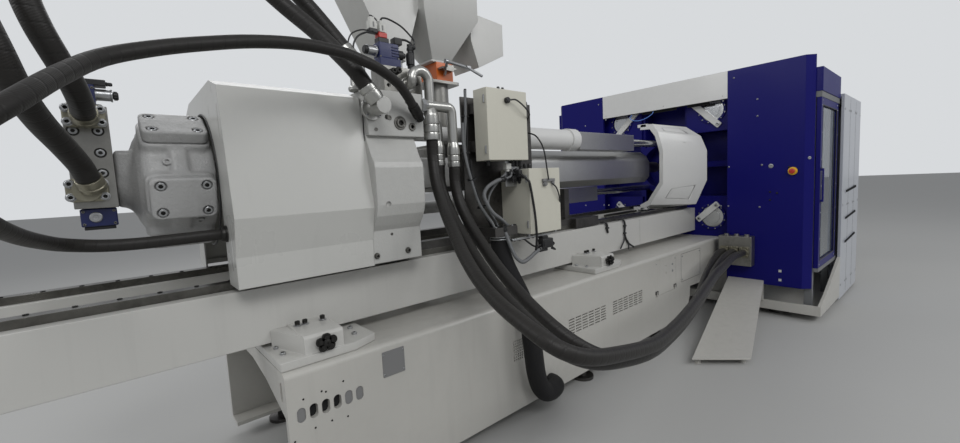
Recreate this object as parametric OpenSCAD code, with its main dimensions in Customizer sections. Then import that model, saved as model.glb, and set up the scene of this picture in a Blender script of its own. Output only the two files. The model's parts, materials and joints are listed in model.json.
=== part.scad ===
// Two-platen injection moulding machine with an axially sliding injection unit.
// Millimetres. X runs from the injection end to the clamp end, Z is up from the floor.

/* [Overall] */
// Length from the rear beam ends to the end cover
overall_length = 8740; // [8200:20:9400]
// Width over the side covers
overall_width = 2952; // [2800:4:3200]
// Height of the clamp enclosure
enclosure_height = 2402; // [2390:2:2600]
/* [Slide beams] */
// Length of each slide beam
beam_length = 5270; // [5000:10:5600]
// Beam length that overhangs the rear of the bed
beam_overhang = 871; // [600:10:1100]
// Distance from the centre line to each beam
beam_offset = 269; // [255:1:285]
// Beam width
beam_width = 150; // [120:2:170]
// Beam height
beam_height = 247; // [240:1:255]
// Width of each guide rail
rail_width = 60; // [40:2:80]
// Height of each guide rail
rail_height = 32; // [28:1:38]

/* [Bed] */
// Bed width
bed_width = 1200; // [1120:10:1240]
// Height of the bed top
bed_top = 730; // [715:1:740]
// Plate thickness of the bed
bed_wall = 25; // [16:1:32]
// Rounding of the long top edges
bed_edge_radius = 25; // [10:1:32]

/* [Injection carriage] */
// Height of the injection axis above the rails
axis_rise = 435; // [425:1:450]
// Distance from the fixed platen back to the housing front
carriage_setback = 3650; // [3600:10:3700]
// Length of the injection housing
housing_length = 262; // [240:2:290]
// Length of the drive hood
hood_length = 577; // [560:1:600]
// Sheet thickness of the hood
hood_sheet = 8; // [4:1:12]
// Travel of the motor and screw while dosing
dosing_stroke = 280; // [240:10:290]

/* [Radial motor] */
// Radius of the cylinder cap faces
cap_radius = 280; // [270:1:290]
// Width of each cylinder cap
cap_width = 165; // [150:1:175]
// Thickness of each cylinder cap
cap_thickness = 45; // [30:1:60]
// Length of the motor casing
casing_length = 252; // [240:1:260]
// Diameter of the crankcase between the cylinders
casing_diameter = 420; // [400:2:440]
// Angle of the first cylinder from upright
first_cylinder_angle = 106; // [100:1:112]

/* [Barrel] */
// Barrel diameter
barrel_diameter = 190; // [180:1:200]
// Screw diameter
screw_diameter = 90; // [80:1:100]
// Diameter of the barrel guard
guard_diameter = 310; // [300:2:330]
// Length of the barrel guard
guard_length = 2100; // [2000:10:2200]

/* [Clamp] */
// Thickness of the fixed platen
platen_thickness = 420; // [380:10:460]
// Width and height of the platens
platen_size = 1560; // [1540:10:1580]
// Tie bar diameter
tie_bar_diameter = 150; // [120:2:170]
// Half distance between the tie bars across
tie_bar_reach = 520; // [500:2:540]
// Half distance between the tie bars up and down
tie_bar_rise = 560; // [545:1:575]
// Space between the platens at rest
mould_space = 1080; // [1000:10:1200]
// Opening through the middle of the fixed platen
platen_opening = 300; // [260:10:320]

/* [Hoses] */
// Diameter of the two motor hoses
motor_hose_diameter = 70; // [60:1:76]
// Diameter of the drain hose
drain_hose_diameter = 45; // [38:1:52]
// Diameter of the three supply hoses
supply_hose_diameter = 60; // [50:1:66]

/* [Hidden] */
$fn = 48;
fit = 0.05;
play = 0.4;

rear_x = -overall_length / 2;
front_x = overall_length / 2;
side_y = overall_width / 2;
platen_x = rear_x + beam_length;
bed_rear_x = rear_x + beam_overhang;
panel_x = platen_x - 117;
carriage_x = platen_x - carriage_setback;
mould_x = platen_x + platen_thickness;
moving_x = mould_x + mould_space;
moving_depth = 500;
end_frame_x = front_x - 470;

beam_underside = bed_top + 56;
beam_top = beam_underside + beam_height;
rail_top = beam_top + rail_height;
axis_height = rail_top + axis_rise;
beam_inner = beam_offset - beam_width / 2;
beam_outer = beam_offset + beam_width / 2;
rail_y = beam_offset - 13;
bed_side = bed_width / 2;
bed_bottom = 80;
foot = rail_top + play - axis_height;

platen_half = platen_size / 2;
platen_low = axis_height - platen_half - 20;
platen_high = axis_height + platen_half + 20;

cylinder_y = 250;
injection_rod = 120;
shaft_diameter = 170;
motor_front = -housing_length - hood_length + 9;
motor_rear = motor_front - casing_length;
neck_rear = motor_rear - 74;
port_rear = neck_rear - 125;
port_face = -170;
upper_port = [neck_rear - 65, 239];
lower_port = [neck_rear - 82, -28];
block_face = -470;
contact_y = -200;
contact_z = 228;
contact_rod = 66;
contact_cylinder = 156;
hopper_x = 488;
hopper_half = 205;
cap_length = casing_length - 32;
cap_screw_x = 75;
cap_screw_y = 53;
keepers = [[76, tie_bar_rise - 20, -44, 430], [40, 51 - tie_bar_rise, 41, 280]];
slide_rod_y = 150;
slide_rod_z = rail_top - 45;
cowl_rear = panel_x - 563;
cowl_front = panel_x - 123;
gate_x = panel_x + 80;
gate_length = 740;
gate_y = side_y - 40;
gate_z = [490, enclosure_height - 372];
cover_x = panel_x + 873;
cover_end = panel_x + 1858;
cover_y = side_y - 236;
ledge_z = enclosure_height - 275;
base_front = front_x - 30;
tray_rear = panel_x - 1590;
contact_head = [1567, 1663];
hopper_top = 1380;
upper_box_x = [410, 730];
upper_box_z = [49, 445];
lower_box_x = [685, 970];
lower_box_z = [-395, -3];
box_plate_y = -362;
connection_x = panel_x - 140;
connection_z = 620;
connection_y = [-895, -807, -719];
ferrule = [[111, -450, 161], [190, -395, 31], [245, -455, 20]];
manifold_top = 525;
arch_pipe = 50;
arch_radius = 50;
arch_x = ferrule[0][0] - arch_radius;
arch_z = 455;
sleeve_top = [520, -500, -385];
door_x = [bed_rear_x + 2958, bed_rear_x + 3349];
door_z = [386, 689];

// Half outlines of the cast housing and of the sheet hood, from the foot to the top
housing_half = [
    [-450, foot], [-450, -277], [-472, -252], [-505, -205], [-521, -154], [-521, 20],
    [-514, 46], [-496, 68], [-452, 160], [-440, 180], [-440, 300], [-280, 330]
];
hood_half = [[-450, foot - 6], [-450, -316], [-494, -163], [-408, 349], [-281, 391]];
hood_inner_half = [for (p = hood_half) [p[0] + hood_sheet, p[1] - (p[1] > 0 ? hood_sheet : 0)]];

// Half outlines of the nozzle guard at its rear and front rims, from the bottom to the top
cowl_rear_half = [[-77, -442], [-176, -389], [-313, -179], [-316, 156], [-268, 337], [-207, 424], [-90, 430]];
cowl_front_half = [[-120, -440], [-452, -409], [-560, -163], [-560, 139], [-502, 286], [-354, 396], [-120, 440]];

// Half outline of the barrel guard, from the bottom to the top
guard_half = [
    [-0.26, -1], [-0.68, -0.97], [-0.98, -0.63], [-0.98, 0.34], [-0.81, 0.70], [-0.40, 1]
];

// Hose routes that ride on the carriage, measured from the housing front on the injection axis
upper_route = [
    [upper_port[0] + 1, -262, 242], [-1222, -330, 265], [-1235, -400, 310], [-1260, -455, 370],
    [-1290, -490, 450], [-1310, -495, 540], [-1310, -475, 640], [-1280, -440, 740],
    [-1220, -405, 830], [-1130, -370, 895], [-1010, -345, 925], [-880, -330, 915],
    [-750, -325, 870], [-640, -335, 800], [-540, -380, 700], [-455, -450, 600],
    [-390, -520, 500], [-340, -560, 425], [-300, -565, 370]
];
lower_route = [
    [lower_port[0] + 7, -263, 14], [-1246, -298, 57], [-1278, -382, 115], [-1313, -477, 173],
    [-1340, -580, 240], [-1365, -630, 340], [-1395, -625, 450], [-1430, -560, 570],
    [-1430, -470, 690], [-1395, -390, 800], [-1330, -330, 900], [-1240, -285, 985],
    [-1130, -260, 1040], [-1000, -245, 1065], [-870, -240, 1055], [-740, -245, 1010],
    [-620, -260, 940], [-510, -285, 850], [-420, -315, 750], [-350, -345, 655], [-300, -370, 580]
];
drain_route = [
    [-45, -530, 312], [-85, -550, 350], [-150, -580, 395], [-261, -628, 430], [-350, -648, 450],
    [-448, -661, 464], [-600, -662, 468], [-763, -660, 449], [-921, -697, 404],
    [-1051, -735, 358], [-1163, -800, 300], [-1240, -920, 220], [-1300, -1040, 140],
    [-1370, -1110, 60], [-1410, -1070, -10], [-1410, -960, -60], [-1395, -800, -110],
    [-1375, -640, -150], [-1350, -480, -180], [-1310, -360, -205], [-1224, -300, -225],
    [-1120, -290, -232], [-1000, -315, -229], [motor_front - 70, -330, -226], [motor_front - 31, -330, -226]
];
supply_rear = [
    [
        [111, -450, 161], [111, -450, 60], [95, -490, -60], [70, -580, -190], [40, -680, -290],
        [0, -800, -390], [-35, -942, -485], [-80, -1110, -545], [-110, -1280, -590],
        [-95, -1400, -640], [0, -1445, -690], [180, -1455, -735], [500, -1440, -795],
        [820, -1390, -815], [1140, -1328, -820], [1560, -1240, -815], [1975, -1153, -805]
    ],
    [
        [190, -395, 31], [190, -395, -60], [185, -440, -160], [170, -530, -265], [140, -650, -360],
        [100, -790, -450], [60, -940, -530], [30, -1090, -600], [20, -1230, -665],
        [50, -1330, -725], [150, -1385, -775], [330, -1400, -820], [560, -1390, -862],
        [820, -1345, -890], [1140, -1285, -905], [1560, -1200, -900], [1975, -1110, -885]
    ],
    [
        [245, -455, 20], [245, -455, -70], [245, -490, -180], [240, -570, -290], [225, -680, -390],
        [205, -800, -480], [190, -930, -565], [185, -1060, -645], [200, -1180, -720],
        [260, -1265, -790], [370, -1310, -850], [560, -1320, -907], [820, -1290, -950],
        [1140, -1235, -970], [1560, -1150, -970], [1975, -1050, -955]
    ]
];
// The last stretch of each supply hose, measured from the connection block
supply_front = [
    [[-1000, -1070, 60], [-620, -990, 45], [-300, -925, 20], [-120, -895, 0], [0, -895, 0]],
    [[-1000, -1000, 5], [-620, -905, 0], [-300, -835, 0], [-120, -807, 0], [0, -807, 0]],
    [[-1000, -930, -50], [-620, -825, -45], [-300, -750, -20], [-120, -719, 0], [0, -719, 0]]
];
// The cable sleeve, measured from its clamp under the terminal boxes
sleeve_route = [
    [0, 0, 0], [0, 0, -70], [0, -30, -160], [5, -80, -250], [12, -140, -350], [20, -180, -460],
    [28, -195, -580], [36, -200, -700], [50, -200, -800], [80, -198, -885], [135, -190, -945],
    [205, -180, -965], [265, -160, -967], [285, -130, -967], [285, -100, -967]
];

// Shared shapes

module span(x, y, z) {
    translate([x[0], y[0], z[0]])
        cube([x[1] - x[0], y[1] - y[0], z[1] - z[0]]);
}

module both() {
    children();
    mirror([0, 1, 0])
        children();
}

module at_carriage() {
    translate([carriage_x, 0, axis_height])
        children();
}

module bar_x(x, y, z, d) {
    translate([x[0], y, z])
        rotate([0, 90, 0])
            cylinder(h = x[1] - x[0], d = d);
}

module bar_y(x, y, z, d) {
    translate([x, y[1], z])
        rotate([90, 0, 0])
            cylinder(h = y[1] - y[0], d = d);
}

module bar_z(x, y, z, d) {
    translate([x, y, z[0]])
        cylinder(h = z[1] - z[0], d = d);
}

module bar_between(p, q, d) {
    v = q - p;
    translate(p)
        rotate([0, acos(v[2] / norm(v)), atan2(v[1], v[0])])
            cylinder(h = norm(v), d = d);
}

// Metal sleeves in line with the first and the last stretch of a hose
module hose_root(route, d, length) {
    heading = unit(route[1] - route[0]);
    bar_between(route[0] - length * heading, route[0] - 0.15 * heading, d);
}

module hose_tail(route, d, length) {
    n = len(route);
    heading = unit(route[n - 1] - route[n - 2]);
    bar_between(route[n - 1] + 0.15 * heading, route[n - 1] + length * heading, d);
}

module prism_x(x, outline) {
    translate([x[0], 0, 0])
        rotate([90, 0, 90])
            linear_extrude(x[1] - x[0])
                polygon(outline);
}

module prism_y(y, outline) {
    translate([0, y[1], 0])
        rotate([90, 0, 0])
            linear_extrude(y[1] - y[0])
                polygon(outline);
}

module prism_z(z, outline) {
    translate([0, 0, z[0]])
        linear_extrude(z[1] - z[0])
            polygon(outline);
}

// A plate with round corners, lying on its middle, thickness upwards
module round_plate(length, width, thickness, radius) {
    translate([-length / 2 + radius, -width / 2, 0])
        cube([length - 2 * radius, width, thickness]);
    translate([-length / 2, -width / 2 + radius, 0])
        cube([length, width - 2 * radius, thickness]);
    for (x = [-1, 1], y = [-1, 1])
        translate([x * (length / 2 - radius), y * (width / 2 - radius), 0])
            cylinder(h = thickness, r = radius);
}

// A slot with round ends through a wall that faces sideways
module slot_y(x, y, z, width, height) {
    translate([x, y[1], z])
        rotate([90, 0, 0])
            round_plate(width, height, y[1] - y[0], width / 2 - 0.01);
}

// A socket-head screw along Y with its head face at y
module screw_y(x, y, z, head, height) {
    difference() {
        bar_y(x, [y, y + height], z, head);
        translate([x, y + height * 0.6, z])
            rotate([90, 0, 0])
                cylinder(h = height, d = head * 0.55, $fn = 6);
    }
}

// Hose sweep: one ring of points at each point of a smooth route
function unit(v) = v / norm(v);
function across(v) = unit(cross(v, abs(v[2]) > 0.9 * norm(v) ? [0, 1, 0] : [0, 0, 1]));
function between(a, b, c, d, t) =
    0.5 * (2 * b + (c - a) * t + (2 * a - 5 * b + 4 * c - d) * t * t + (3 * b - a - 3 * c + d) * t * t * t);
function smooth_route(p, steps) = let (n = len(p)) [
    for (i = [0:n - 2], s = [0:steps - 1])
        between(p[max(i - 1, 0)], p[i], p[i + 1], p[min(i + 2, n - 1)], s / steps),
    p[n - 1]
];
function headings(p) = let (n = len(p)) [for (i = [0:n - 1]) unit(p[min(i + 1, n - 1)] - p[max(i - 1, 0)])];
function carried(side, heading) = unit(side - heading * (side * heading));
function side_list(h, i = 1, kept = []) =
    i == 1 && len(kept) == 0 ? side_list(h, 1, [across(h[0])]) :
    i >= len(h) ? kept : side_list(h, i + 1, concat(kept, [carried(kept[i - 1], h[i])]));

module hose(route, diameter, steps = 2, sides = 10) {
    p = smooth_route(route, steps);
    h = headings(p);
    u = side_list(h);
    n = len(p);
    points = [
        for (i = [0:n - 1], k = [0:sides - 1])
            p[i] + diameter / 2 * (cos(360 * k / sides) * u[i] + sin(360 * k / sides) * cross(h[i], u[i]))
    ];
    faces = concat(
        [[for (k = [0:sides - 1]) sides - 1 - k]],
        [for (i = [0:n - 2], k = [0:sides - 1]) let (a = i * sides, b = (k + 1) % sides)
            [a + k, a + b, a + sides + b, a + sides + k]],
        [[for (k = [0:sides - 1]) (n - 1) * sides + k]]
    );
    polyhedron(points = points, faces = [for (f = faces) [for (k = [len(f) - 1:-1:0]) f[k]]]);
}

// Bed and beams

module grille(x, z, columns, rows, pitch_x, pitch_z, width, height) {
    for (i = [0:columns - 1], j = [0:rows - 1])
        span(
            [x + i * pitch_x, x + i * pitch_x + width],
            [-bed_side - 1, -bed_side + bed_wall + 1],
            [z + j * pitch_z, z + j * pitch_z + height]
        );
}

module bed_wall_plate() {
    prism_y([-bed_side, -bed_side + bed_wall], [
        [bed_rear_x, bed_bottom], [platen_x - 1070, bed_bottom], [platen_x - 900, 110],
        [platen_x - 800, 170], [platen_x - 762, 250], [platen_x - 750, 345],
        [platen_x - 396, 334], [platen_x - 20, 640], [platen_x, 665],
        [platen_x, bed_top - bed_edge_radius], [bed_rear_x, bed_top - bed_edge_radius]
    ]);
}

module bed() {
    color([0.80, 0.79, 0.75]) {
        difference() {
            union() {
                bed_wall_plate();
                bar_x(
                    [bed_rear_x, platen_x],
                    -bed_side + bed_edge_radius,
                    bed_top - bed_edge_radius,
                    2 * bed_edge_radius
                );
            }
            for (i = [0:5])
                slot_y(bed_rear_x + 52 + i * 49, [-bed_side - 1, -bed_side + bed_wall + 1], 550, 33, 60);
            grille(bed_rear_x + 1767, 390, 6, 6, 75, 19, 62, 9);
            grille(bed_rear_x + 2301, 396, 6, 6, 75, 18, 62, 9);
            grille(bed_rear_x + 1242, 380, 6, 8, 17, 16, 10, 10);
            grille(bed_rear_x + 1574, 438, 6, 4, 20, 16, 12, 10);
            span(
                [door_x[0] - 0.5, door_x[1] + 0.5],
                [-bed_side - 1, -bed_side + bed_wall + 1],
                [door_z[0] - 0.5, door_z[1] + 0.5]
            );
        }
        mirror([0, 1, 0])
            bed_wall_plate();
        bar_x(
            [bed_rear_x, platen_x],
            bed_side - bed_edge_radius,
            bed_top - bed_edge_radius,
            2 * bed_edge_radius
        );
        both() {
            span([bed_rear_x, platen_x], [-bed_side + bed_edge_radius, -120], [bed_top - bed_wall, bed_top]);
            span(
                [bed_rear_x, platen_x - 1070],
                [-bed_side + bed_wall, -bed_side + 140],
                [bed_bottom, bed_bottom + 20]
            );
        }
        difference() {
            prism_x([bed_rear_x + 1, bed_rear_x + bed_wall], [
                [-bed_side + bed_wall, bed_top - bed_wall], [-bed_side + bed_wall, 545], [-320, 628],
                [-110, 665], [110, 665], [320, 628], [bed_side - bed_wall, 545],
                [bed_side - bed_wall, bed_top - bed_wall]
            ]);
            translate([bed_rear_x, -542, 642])
                rotate([0, 90, 0])
                    round_plate(80, 26, bed_wall + 2, 12.9);
        }
        for (x = [bed_rear_x + 900, bed_rear_x + 2000, bed_rear_x + 2900, platen_x - 1100])
            difference() {
                span(
                    [x, x + 20],
                    [-bed_side + bed_wall, bed_side - bed_wall],
                    [bed_bottom, bed_top - bed_wall]
                );
                span([x - 1, x + 21], [-400, 400], [180, 600]);
            }
        for (x = [bed_rear_x + 1, bed_rear_x + 1450, platen_x - 160])
            span([x, x + 160], [-120, 120], [bed_top - bed_wall, bed_top]);
    }
}

bracket_x = [bed_rear_x + 99, bed_rear_x + 2229];

module support_brackets() {
    color([0.79, 0.79, 0.77])
        both()
            for (x = bracket_x) {
                prism_z([bed_top, bed_top + 37], [
                    [x - 99, -bed_side + 30], [x + 210, -bed_side + 30], [x + 325, -bed_side + 75],
                    [x + 325, -beam_inner], [x - 99, -beam_inner]
                ]);
                prism_x([x, x + 165], [
                    [-560, bed_top + 37], [-beam_outer, bed_top + 37], [-beam_outer, bed_top + 120],
                    [-548, bed_top + 115], [-560, bed_top + 103]
                ]);
                prism_z([bed_top + 37, bed_top + 112], [[x - 70, -beam_outer], [x, -540], [x, -beam_outer]]);
                span([x, x + 165], [-beam_outer, -beam_inner], [bed_top + 37, beam_underside]);
            }
}

module slide_beams() {
    color([0.76, 0.76, 0.74]) {
        both()
            difference() {
                span([rear_x, platen_x], [-beam_outer, -beam_inner], [beam_underside, beam_top]);
                span(
                    [platen_x - 1208, platen_x - 1204],
                    [-beam_outer - 1, -beam_outer + 8],
                    [beam_underside - 1, beam_top + 1]
                );
            }
        for (x = [rear_x + 90, bed_rear_x + 900, platen_x - 300])
            span([x, x + 60], [-beam_inner, beam_inner], [beam_underside + 20, beam_top - 60]);
    }
}

module rails() {
    color([0.42, 0.41, 0.38])
        both() {
            span(
                [rear_x + 60, platen_x - 60],
                [-rail_y - rail_width / 2, -rail_y + rail_width / 2],
                [beam_top, rail_top]
            );
            bar_x([panel_x - 883, platen_x], -slide_rod_y, slide_rod_z, 24);
        }
}

module base_fixings() {
    color([0.35, 0.34, 0.33]) {
        both() {
            for (x = bracket_x) {
                for (k = [0:4])
                    rotate([0, 0, 0])
                        bar_y(
                            x + 82 + 26 * cos(72 * k + 18),
                            [-582, -560],
                            bed_top + 76 + 20 * sin(72 * k + 18),
                            22
                        );
                bar_y(x + 82, [-592, -560], bed_top + 76, 30);
                for (d = [28, 60, 137])
                    bar_z(x + d, -400, [bed_top + 119.2, bed_top + 128], 20);
            }
            for (x = [bed_rear_x + 260, bed_rear_x + 2000, platen_x - 1300]) {
                bar_z(x, -bed_side + 70, [20, bed_bottom], 50);
                bar_z(x, -bed_side + 70, [0, 20], 150);
            }
        }
        for (x = [panel_x + 200, panel_x + 1500, front_x - 300])
            both() {
                bar_z(x, -side_y + 360, [0, 24], 170);
                bar_z(x, -side_y + 360, [24, 60], 60);
            }
    }
}

// Clamp unit

module corner_posts(y, z) {
    for (dy = [-1, 1], dz = [-1, 1])
        translate([0, dy * y, axis_height + dz * z])
            children();
}

module fixed_platen() {
    color([0.07, 0.08, 0.40])
        difference() {
            union() {
                span([platen_x + 220, mould_x], [-platen_half, platen_half], [platen_low, platen_high]);
                for (y = [-platen_half, 260], z = [platen_low, axis_height + 340])
                    span([platen_x, mould_x], [y, y + platen_half - 260], [z, z + platen_half - 320]);
                both() {
                    span(
                        [platen_x + 30, mould_x],
                        [-platen_half, -platen_half + 80],
                        [platen_low, platen_high]
                    );
                    span(
                        [platen_x + 30, mould_x],
                        [-platen_half, -280],
                        [axis_height - 30, axis_height + 30]
                    );
                    span([platen_x + 30, mould_x], [-290, -230], [platen_low, axis_height - 190]);
                    span([platen_x + 30, mould_x], [-290, -230], [axis_height + 190, platen_high]);
                }
                for (z = [platen_low, platen_high - 90])
                    span([platen_x, mould_x], [-270, 270], [z, z + 90]);
                span([platen_x, mould_x], [-270, 270], [slide_rod_z - 40, slide_rod_z + 30]);
                bar_x([platen_x, mould_x], 0, axis_height, 2 * 310);
                both()
                    span(
                        [platen_x + 300, mould_x],
                        [-platen_half - 150, -platen_half + 1],
                        [axis_height - 100, axis_height + 100]
                    );
            }
            bar_x([platen_x - 1, mould_x + 1], 0, axis_height, platen_opening);
            bar_x([platen_x - 1, platen_x + 150], 0, axis_height, platen_opening + 200);
            corner_posts(tie_bar_reach, tie_bar_rise) {
                bar_x([platen_x - 1, mould_x + 1], 0, 0, tie_bar_diameter + 2 * fit);
                bar_x([platen_x - 1, platen_x + 60], 0, 0, 240);
            }
            for (y = [-350, 350], z = [-350, -175, 0, 175, 350])
                bar_x([mould_x - 60, mould_x + 1], y, axis_height + z, 24);
        }
}

module tie_bars() {
    color([0.72, 0.73, 0.74])
        corner_posts(tie_bar_reach, tie_bar_rise) {
            bar_x([platen_x + 5, end_frame_x + 190], 0, 0, tie_bar_diameter);
            bar_x([platen_x + 8, platen_x + 60], 0, 0, 230);
            bar_x([end_frame_x + 160, end_frame_x + 184], 0, 0, 230);
        }
}

module moving_platen() {
    color([0.07, 0.08, 0.40])
        difference() {
            union() {
                span([moving_x, moving_x + 190], [-platen_half, platen_half], [platen_low + 4, platen_high]);
                corner_posts(tie_bar_reach, tie_bar_rise)
                    bar_x([moving_x, moving_x + moving_depth], 0, 0, 400);
                for (y = [-360, 300])
                    span([moving_x, moving_x + 400], [y, y + 60], [platen_low + 60, platen_high - 60]);
                for (z = [-330, 270])
                    span(
                        [moving_x, moving_x + 400],
                        [-platen_half + 60, platen_half - 60],
                        [axis_height + z, axis_height + z + 60]
                    );
                bar_x([moving_x, moving_x + 400], 0, axis_height, 360);
                both()
                    span(
                        [moving_x + 380, moving_x + moving_depth],
                        [-platen_half - 150, -520],
                        [axis_height - 100, axis_height + 100]
                    );
                both()
                    span(
                        [moving_x + 190, moving_x + 380],
                        [-platen_half + 20, -platen_half + 80],
                        [axis_height - 100, axis_height + 100]
                    );
            }
            corner_posts(tie_bar_reach, tie_bar_rise)
                bar_x([moving_x - 1, moving_x + moving_depth + 1], 0, 0, tie_bar_diameter + 4 * fit);
            bar_x([moving_x - 1, moving_x + 401], 0, axis_height, 80 + 2 * fit);
            for (y = [-350, 350], z = [-350, -175, 0, 175, 350])
                if (abs(z) != 350)
                    bar_x([moving_x - 1, moving_x + 60], y, axis_height + z, 24);
        }
}

module ejector() {
    color([0.55, 0.56, 0.57]) {
        bar_x([moving_x + 20, moving_x + 700], 0, axis_height, 80);
        translate([moving_x + 600, 0, axis_height])
            rotate([0, 90, 0])
                round_plate(240, 400, 40, 30);
    }
}

module traverse_cylinders() {
    color([0.70, 0.70, 0.68])
        both()
            difference() {
                bar_x([mould_x, moving_x - 30], -platen_half - 75, axis_height, 110);
                bar_x([mould_x + 40, moving_x - 100], -platen_half - 75, axis_height, 80);
                bar_x([mould_x + 40, moving_x], -platen_half - 75, axis_height, 60 + 2 * fit);
            }
}

module traverse_rods() {
    color([0.80, 0.81, 0.82])
        both()
            bar_x([mould_x + 470, moving_x + 380], -platen_half - 75, axis_height, 60);
}

module clamp_frame() {
    color([0.40, 0.41, 0.42]) {
        both()
            span([platen_x, end_frame_x + 190], [-platen_half, -420], [platen_low - 180, platen_low]);
        for (x = [platen_x, moving_x - 200, end_frame_x])
            span([x, x + 160], [-420, 420], [platen_low - 180, platen_low]);
        difference() {
            span([end_frame_x, end_frame_x + 160], [-platen_half, platen_half], [platen_low, platen_high]);
            corner_posts(tie_bar_reach, tie_bar_rise)
                bar_x([end_frame_x - 1, end_frame_x + 161], 0, 0, tie_bar_diameter + 2);
            span([end_frame_x - 1, end_frame_x + 161], [-360, 360], [axis_height - 400, axis_height + 400]);
        }
        both() {
            span([panel_x + 76, panel_x + 130], [-gate_y + 40, -gate_y + 100], [90, gate_z[1] + 52]);
            for (z = [[gate_z[1] + play, gate_z[1] + 52], [gate_z[0] - 36, gate_z[0] - play]])
                span([gate_x, gate_x + 2 * gate_length], [-gate_y - 2, -gate_y + 42], z);
            for (x = [cover_x, gate_x + 2 * gate_length - 60]) {
                span([x, x + 56], [-gate_y + 60, -gate_y + 116], [90, ledge_z - 26]);
                for (z = [[gate_z[0] - 100, gate_z[0] - 36], [gate_z[1] + 52, ledge_z - 26]])
                    span([x, x + 56], [-side_y + 26, -gate_y + 60], z);
            }
            for (x = [cover_end + 10, base_front - 80])
                span([x, x + 80], [-cover_y + 22, -cover_y + 102], [90, ledge_z + 113]);
        }
    }
}

module rear_panels() {
    color([0.06, 0.07, 0.42])
        both() {
            difference() {
                span([panel_x, panel_x + 30], [-side_y + 161, -705], [300, enclosure_height]);
                for (p = [[-713, 1457], [-1000, 1459], [-1066, 1446]])
                    bar_x([panel_x - 1, panel_x + 5], p[0], p[1], 14);
            }
            prism_z([300, enclosure_height], [
                [panel_x, -side_y + 161], [panel_x, -side_y + 140], [panel_x + 60, -side_y + 80],
                [panel_x + 76, -side_y + 80], [panel_x + 76, -side_y + 104], [panel_x + 68, -side_y + 104],
                [panel_x + 30, -side_y + 142], [panel_x + 30, -side_y + 161]
            ]);
            span(
                [panel_x + 30, platen_x],
                [-platen_half - 30, -platen_half - 6],
                [300, enclosure_height - 30]
            );
            span(
                [panel_x + 76, cover_x],
                [-side_y + 32, -side_y + 92],
                [gate_z[1] + 52, enclosure_height - 112]
            );
        }
}

module side_panels() {
    color([0.86, 0.86, 0.85])
        both() {
            difference() {
                span([cover_x, cover_end], [-side_y, -side_y + 26], [30, ledge_z]);
                for (z = [1130, 850, 600])
                    prism_y([-side_y - 1, -side_y + 20], [
                        [cover_x + 154, z], [cover_x + 764, z + 30], [cover_x + 764, z + 62], [cover_x + 154, z + 32]
                    ]);
            }
            span([cover_x, cover_end], [-side_y + 26, -cover_y], [ledge_z - 26, ledge_z]);
            span([cover_end - 26, cover_end], [-side_y + 26, -cover_y + 22], [30, ledge_z - 26]);
        }
}

// A sheet that widens as it slopes down from the clamp to the floor
module drip_tray() {
    sheet = 10;
    top = [
        [panel_x, -720, 338], [panel_x, -1034, 338],
        [tray_rear + 275, -1310, 50], [tray_rear, -1006, 50]
    ];
    lower = [for (p = top) p - [0, 0, sheet]];
    polyhedron(points = concat(top, lower), faces = [
        [0, 1, 2], [0, 2, 3], [4, 6, 5], [4, 7, 6],
        [0, 5, 1], [0, 4, 5], [1, 6, 2], [1, 5, 6], [2, 7, 3], [2, 6, 7], [3, 4, 0], [3, 7, 4]
    ]);
    span([panel_x - 10, panel_x], [-1034, -720], [140, 330]);
    span([panel_x - 10, panel_x + 12], [-1034, -720], [140, 148]);
    for (p = [[70, -1020], [300, -1250]])
        bar_z(tray_rear + p[0], p[1], [0, 52], 40);
}

module clamp_base() {
    color([0.84, 0.83, 0.80]) {
        both()
            prism_y([-side_y, -side_y + 26], [
                [panel_x + 12, 60], [panel_x + 12, 148], [panel_x + 240, 215], [cover_x, 480], [cover_x, 60]
            ]);
        span([panel_x + 12, panel_x + 38], [-side_y + 26, side_y - 26], [60, 148]);
        both()
            span([panel_x + 38, cover_end - 26], [-side_y + 26, -platen_half], [60, 90]);
        both()
            span([cover_end - 26, base_front], [-cover_y + 22, -platen_half], [60, 90]);
        both()
            span([platen_x + 60, front_x - 100], [-platen_half, -420], [90, platen_low - 180]);
        span([platen_x, base_front], [-platen_half, platen_half], [60, 90]);
        drip_tray();
    }
}

module rear_shell(x, inset) {
    prism_x(x, both_sides([
        [-cover_y + inset, 30], [-cover_y + inset, ledge_z + 123],
        [-cover_y + 140, enclosure_height - inset]
    ]));
}

module clamp_covers() {
    color([0.85, 0.85, 0.84]) {
        span([panel_x, panel_x + 30], [-705, 705], [enclosure_height - 265, enclosure_height]);
        both()
            for (k = keepers)
                translate([platen_x, -tie_bar_reach + k[0], axis_height + k[1]])
                    rotate([0, -90, 0])
                        rotate([0, 0, k[2]])
                            round_plate(62, k[3], 20, 12);
        difference() {
            rear_shell([cover_x, front_x], 0);
            rear_shell([cover_x - 1, base_front], 22);
            span([cover_x - 1, base_front], [-cover_y + 22, cover_y - 22], [29, 31]);
            span([cover_x - 1, cover_end], [-side_y, side_y], [29, ledge_z - 26]);
            for (k = [0:7])
                span([front_x - 8, front_x + 1], [-500, 500], [1500 + k * 60, 1520 + k * 60]);
        }
    }
}

module estop_housing() {
    color([0.85, 0.60, 0.12])
        difference() {
            bar_x([panel_x - 25, panel_x], -side_y + 223, 1389, 72);
            bar_x([panel_x - 26, panel_x - 4], -side_y + 223, 1389, 34);
        }
}

module estop_button() {
    color([0.70, 0.10, 0.06]) {
        bar_x([panel_x - 48, panel_x - 32], -side_y + 223, 1389, 46);
        bar_x([panel_x - 32, panel_x - 12], -side_y + 223, 1389, 33.4);
    }
}

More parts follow.
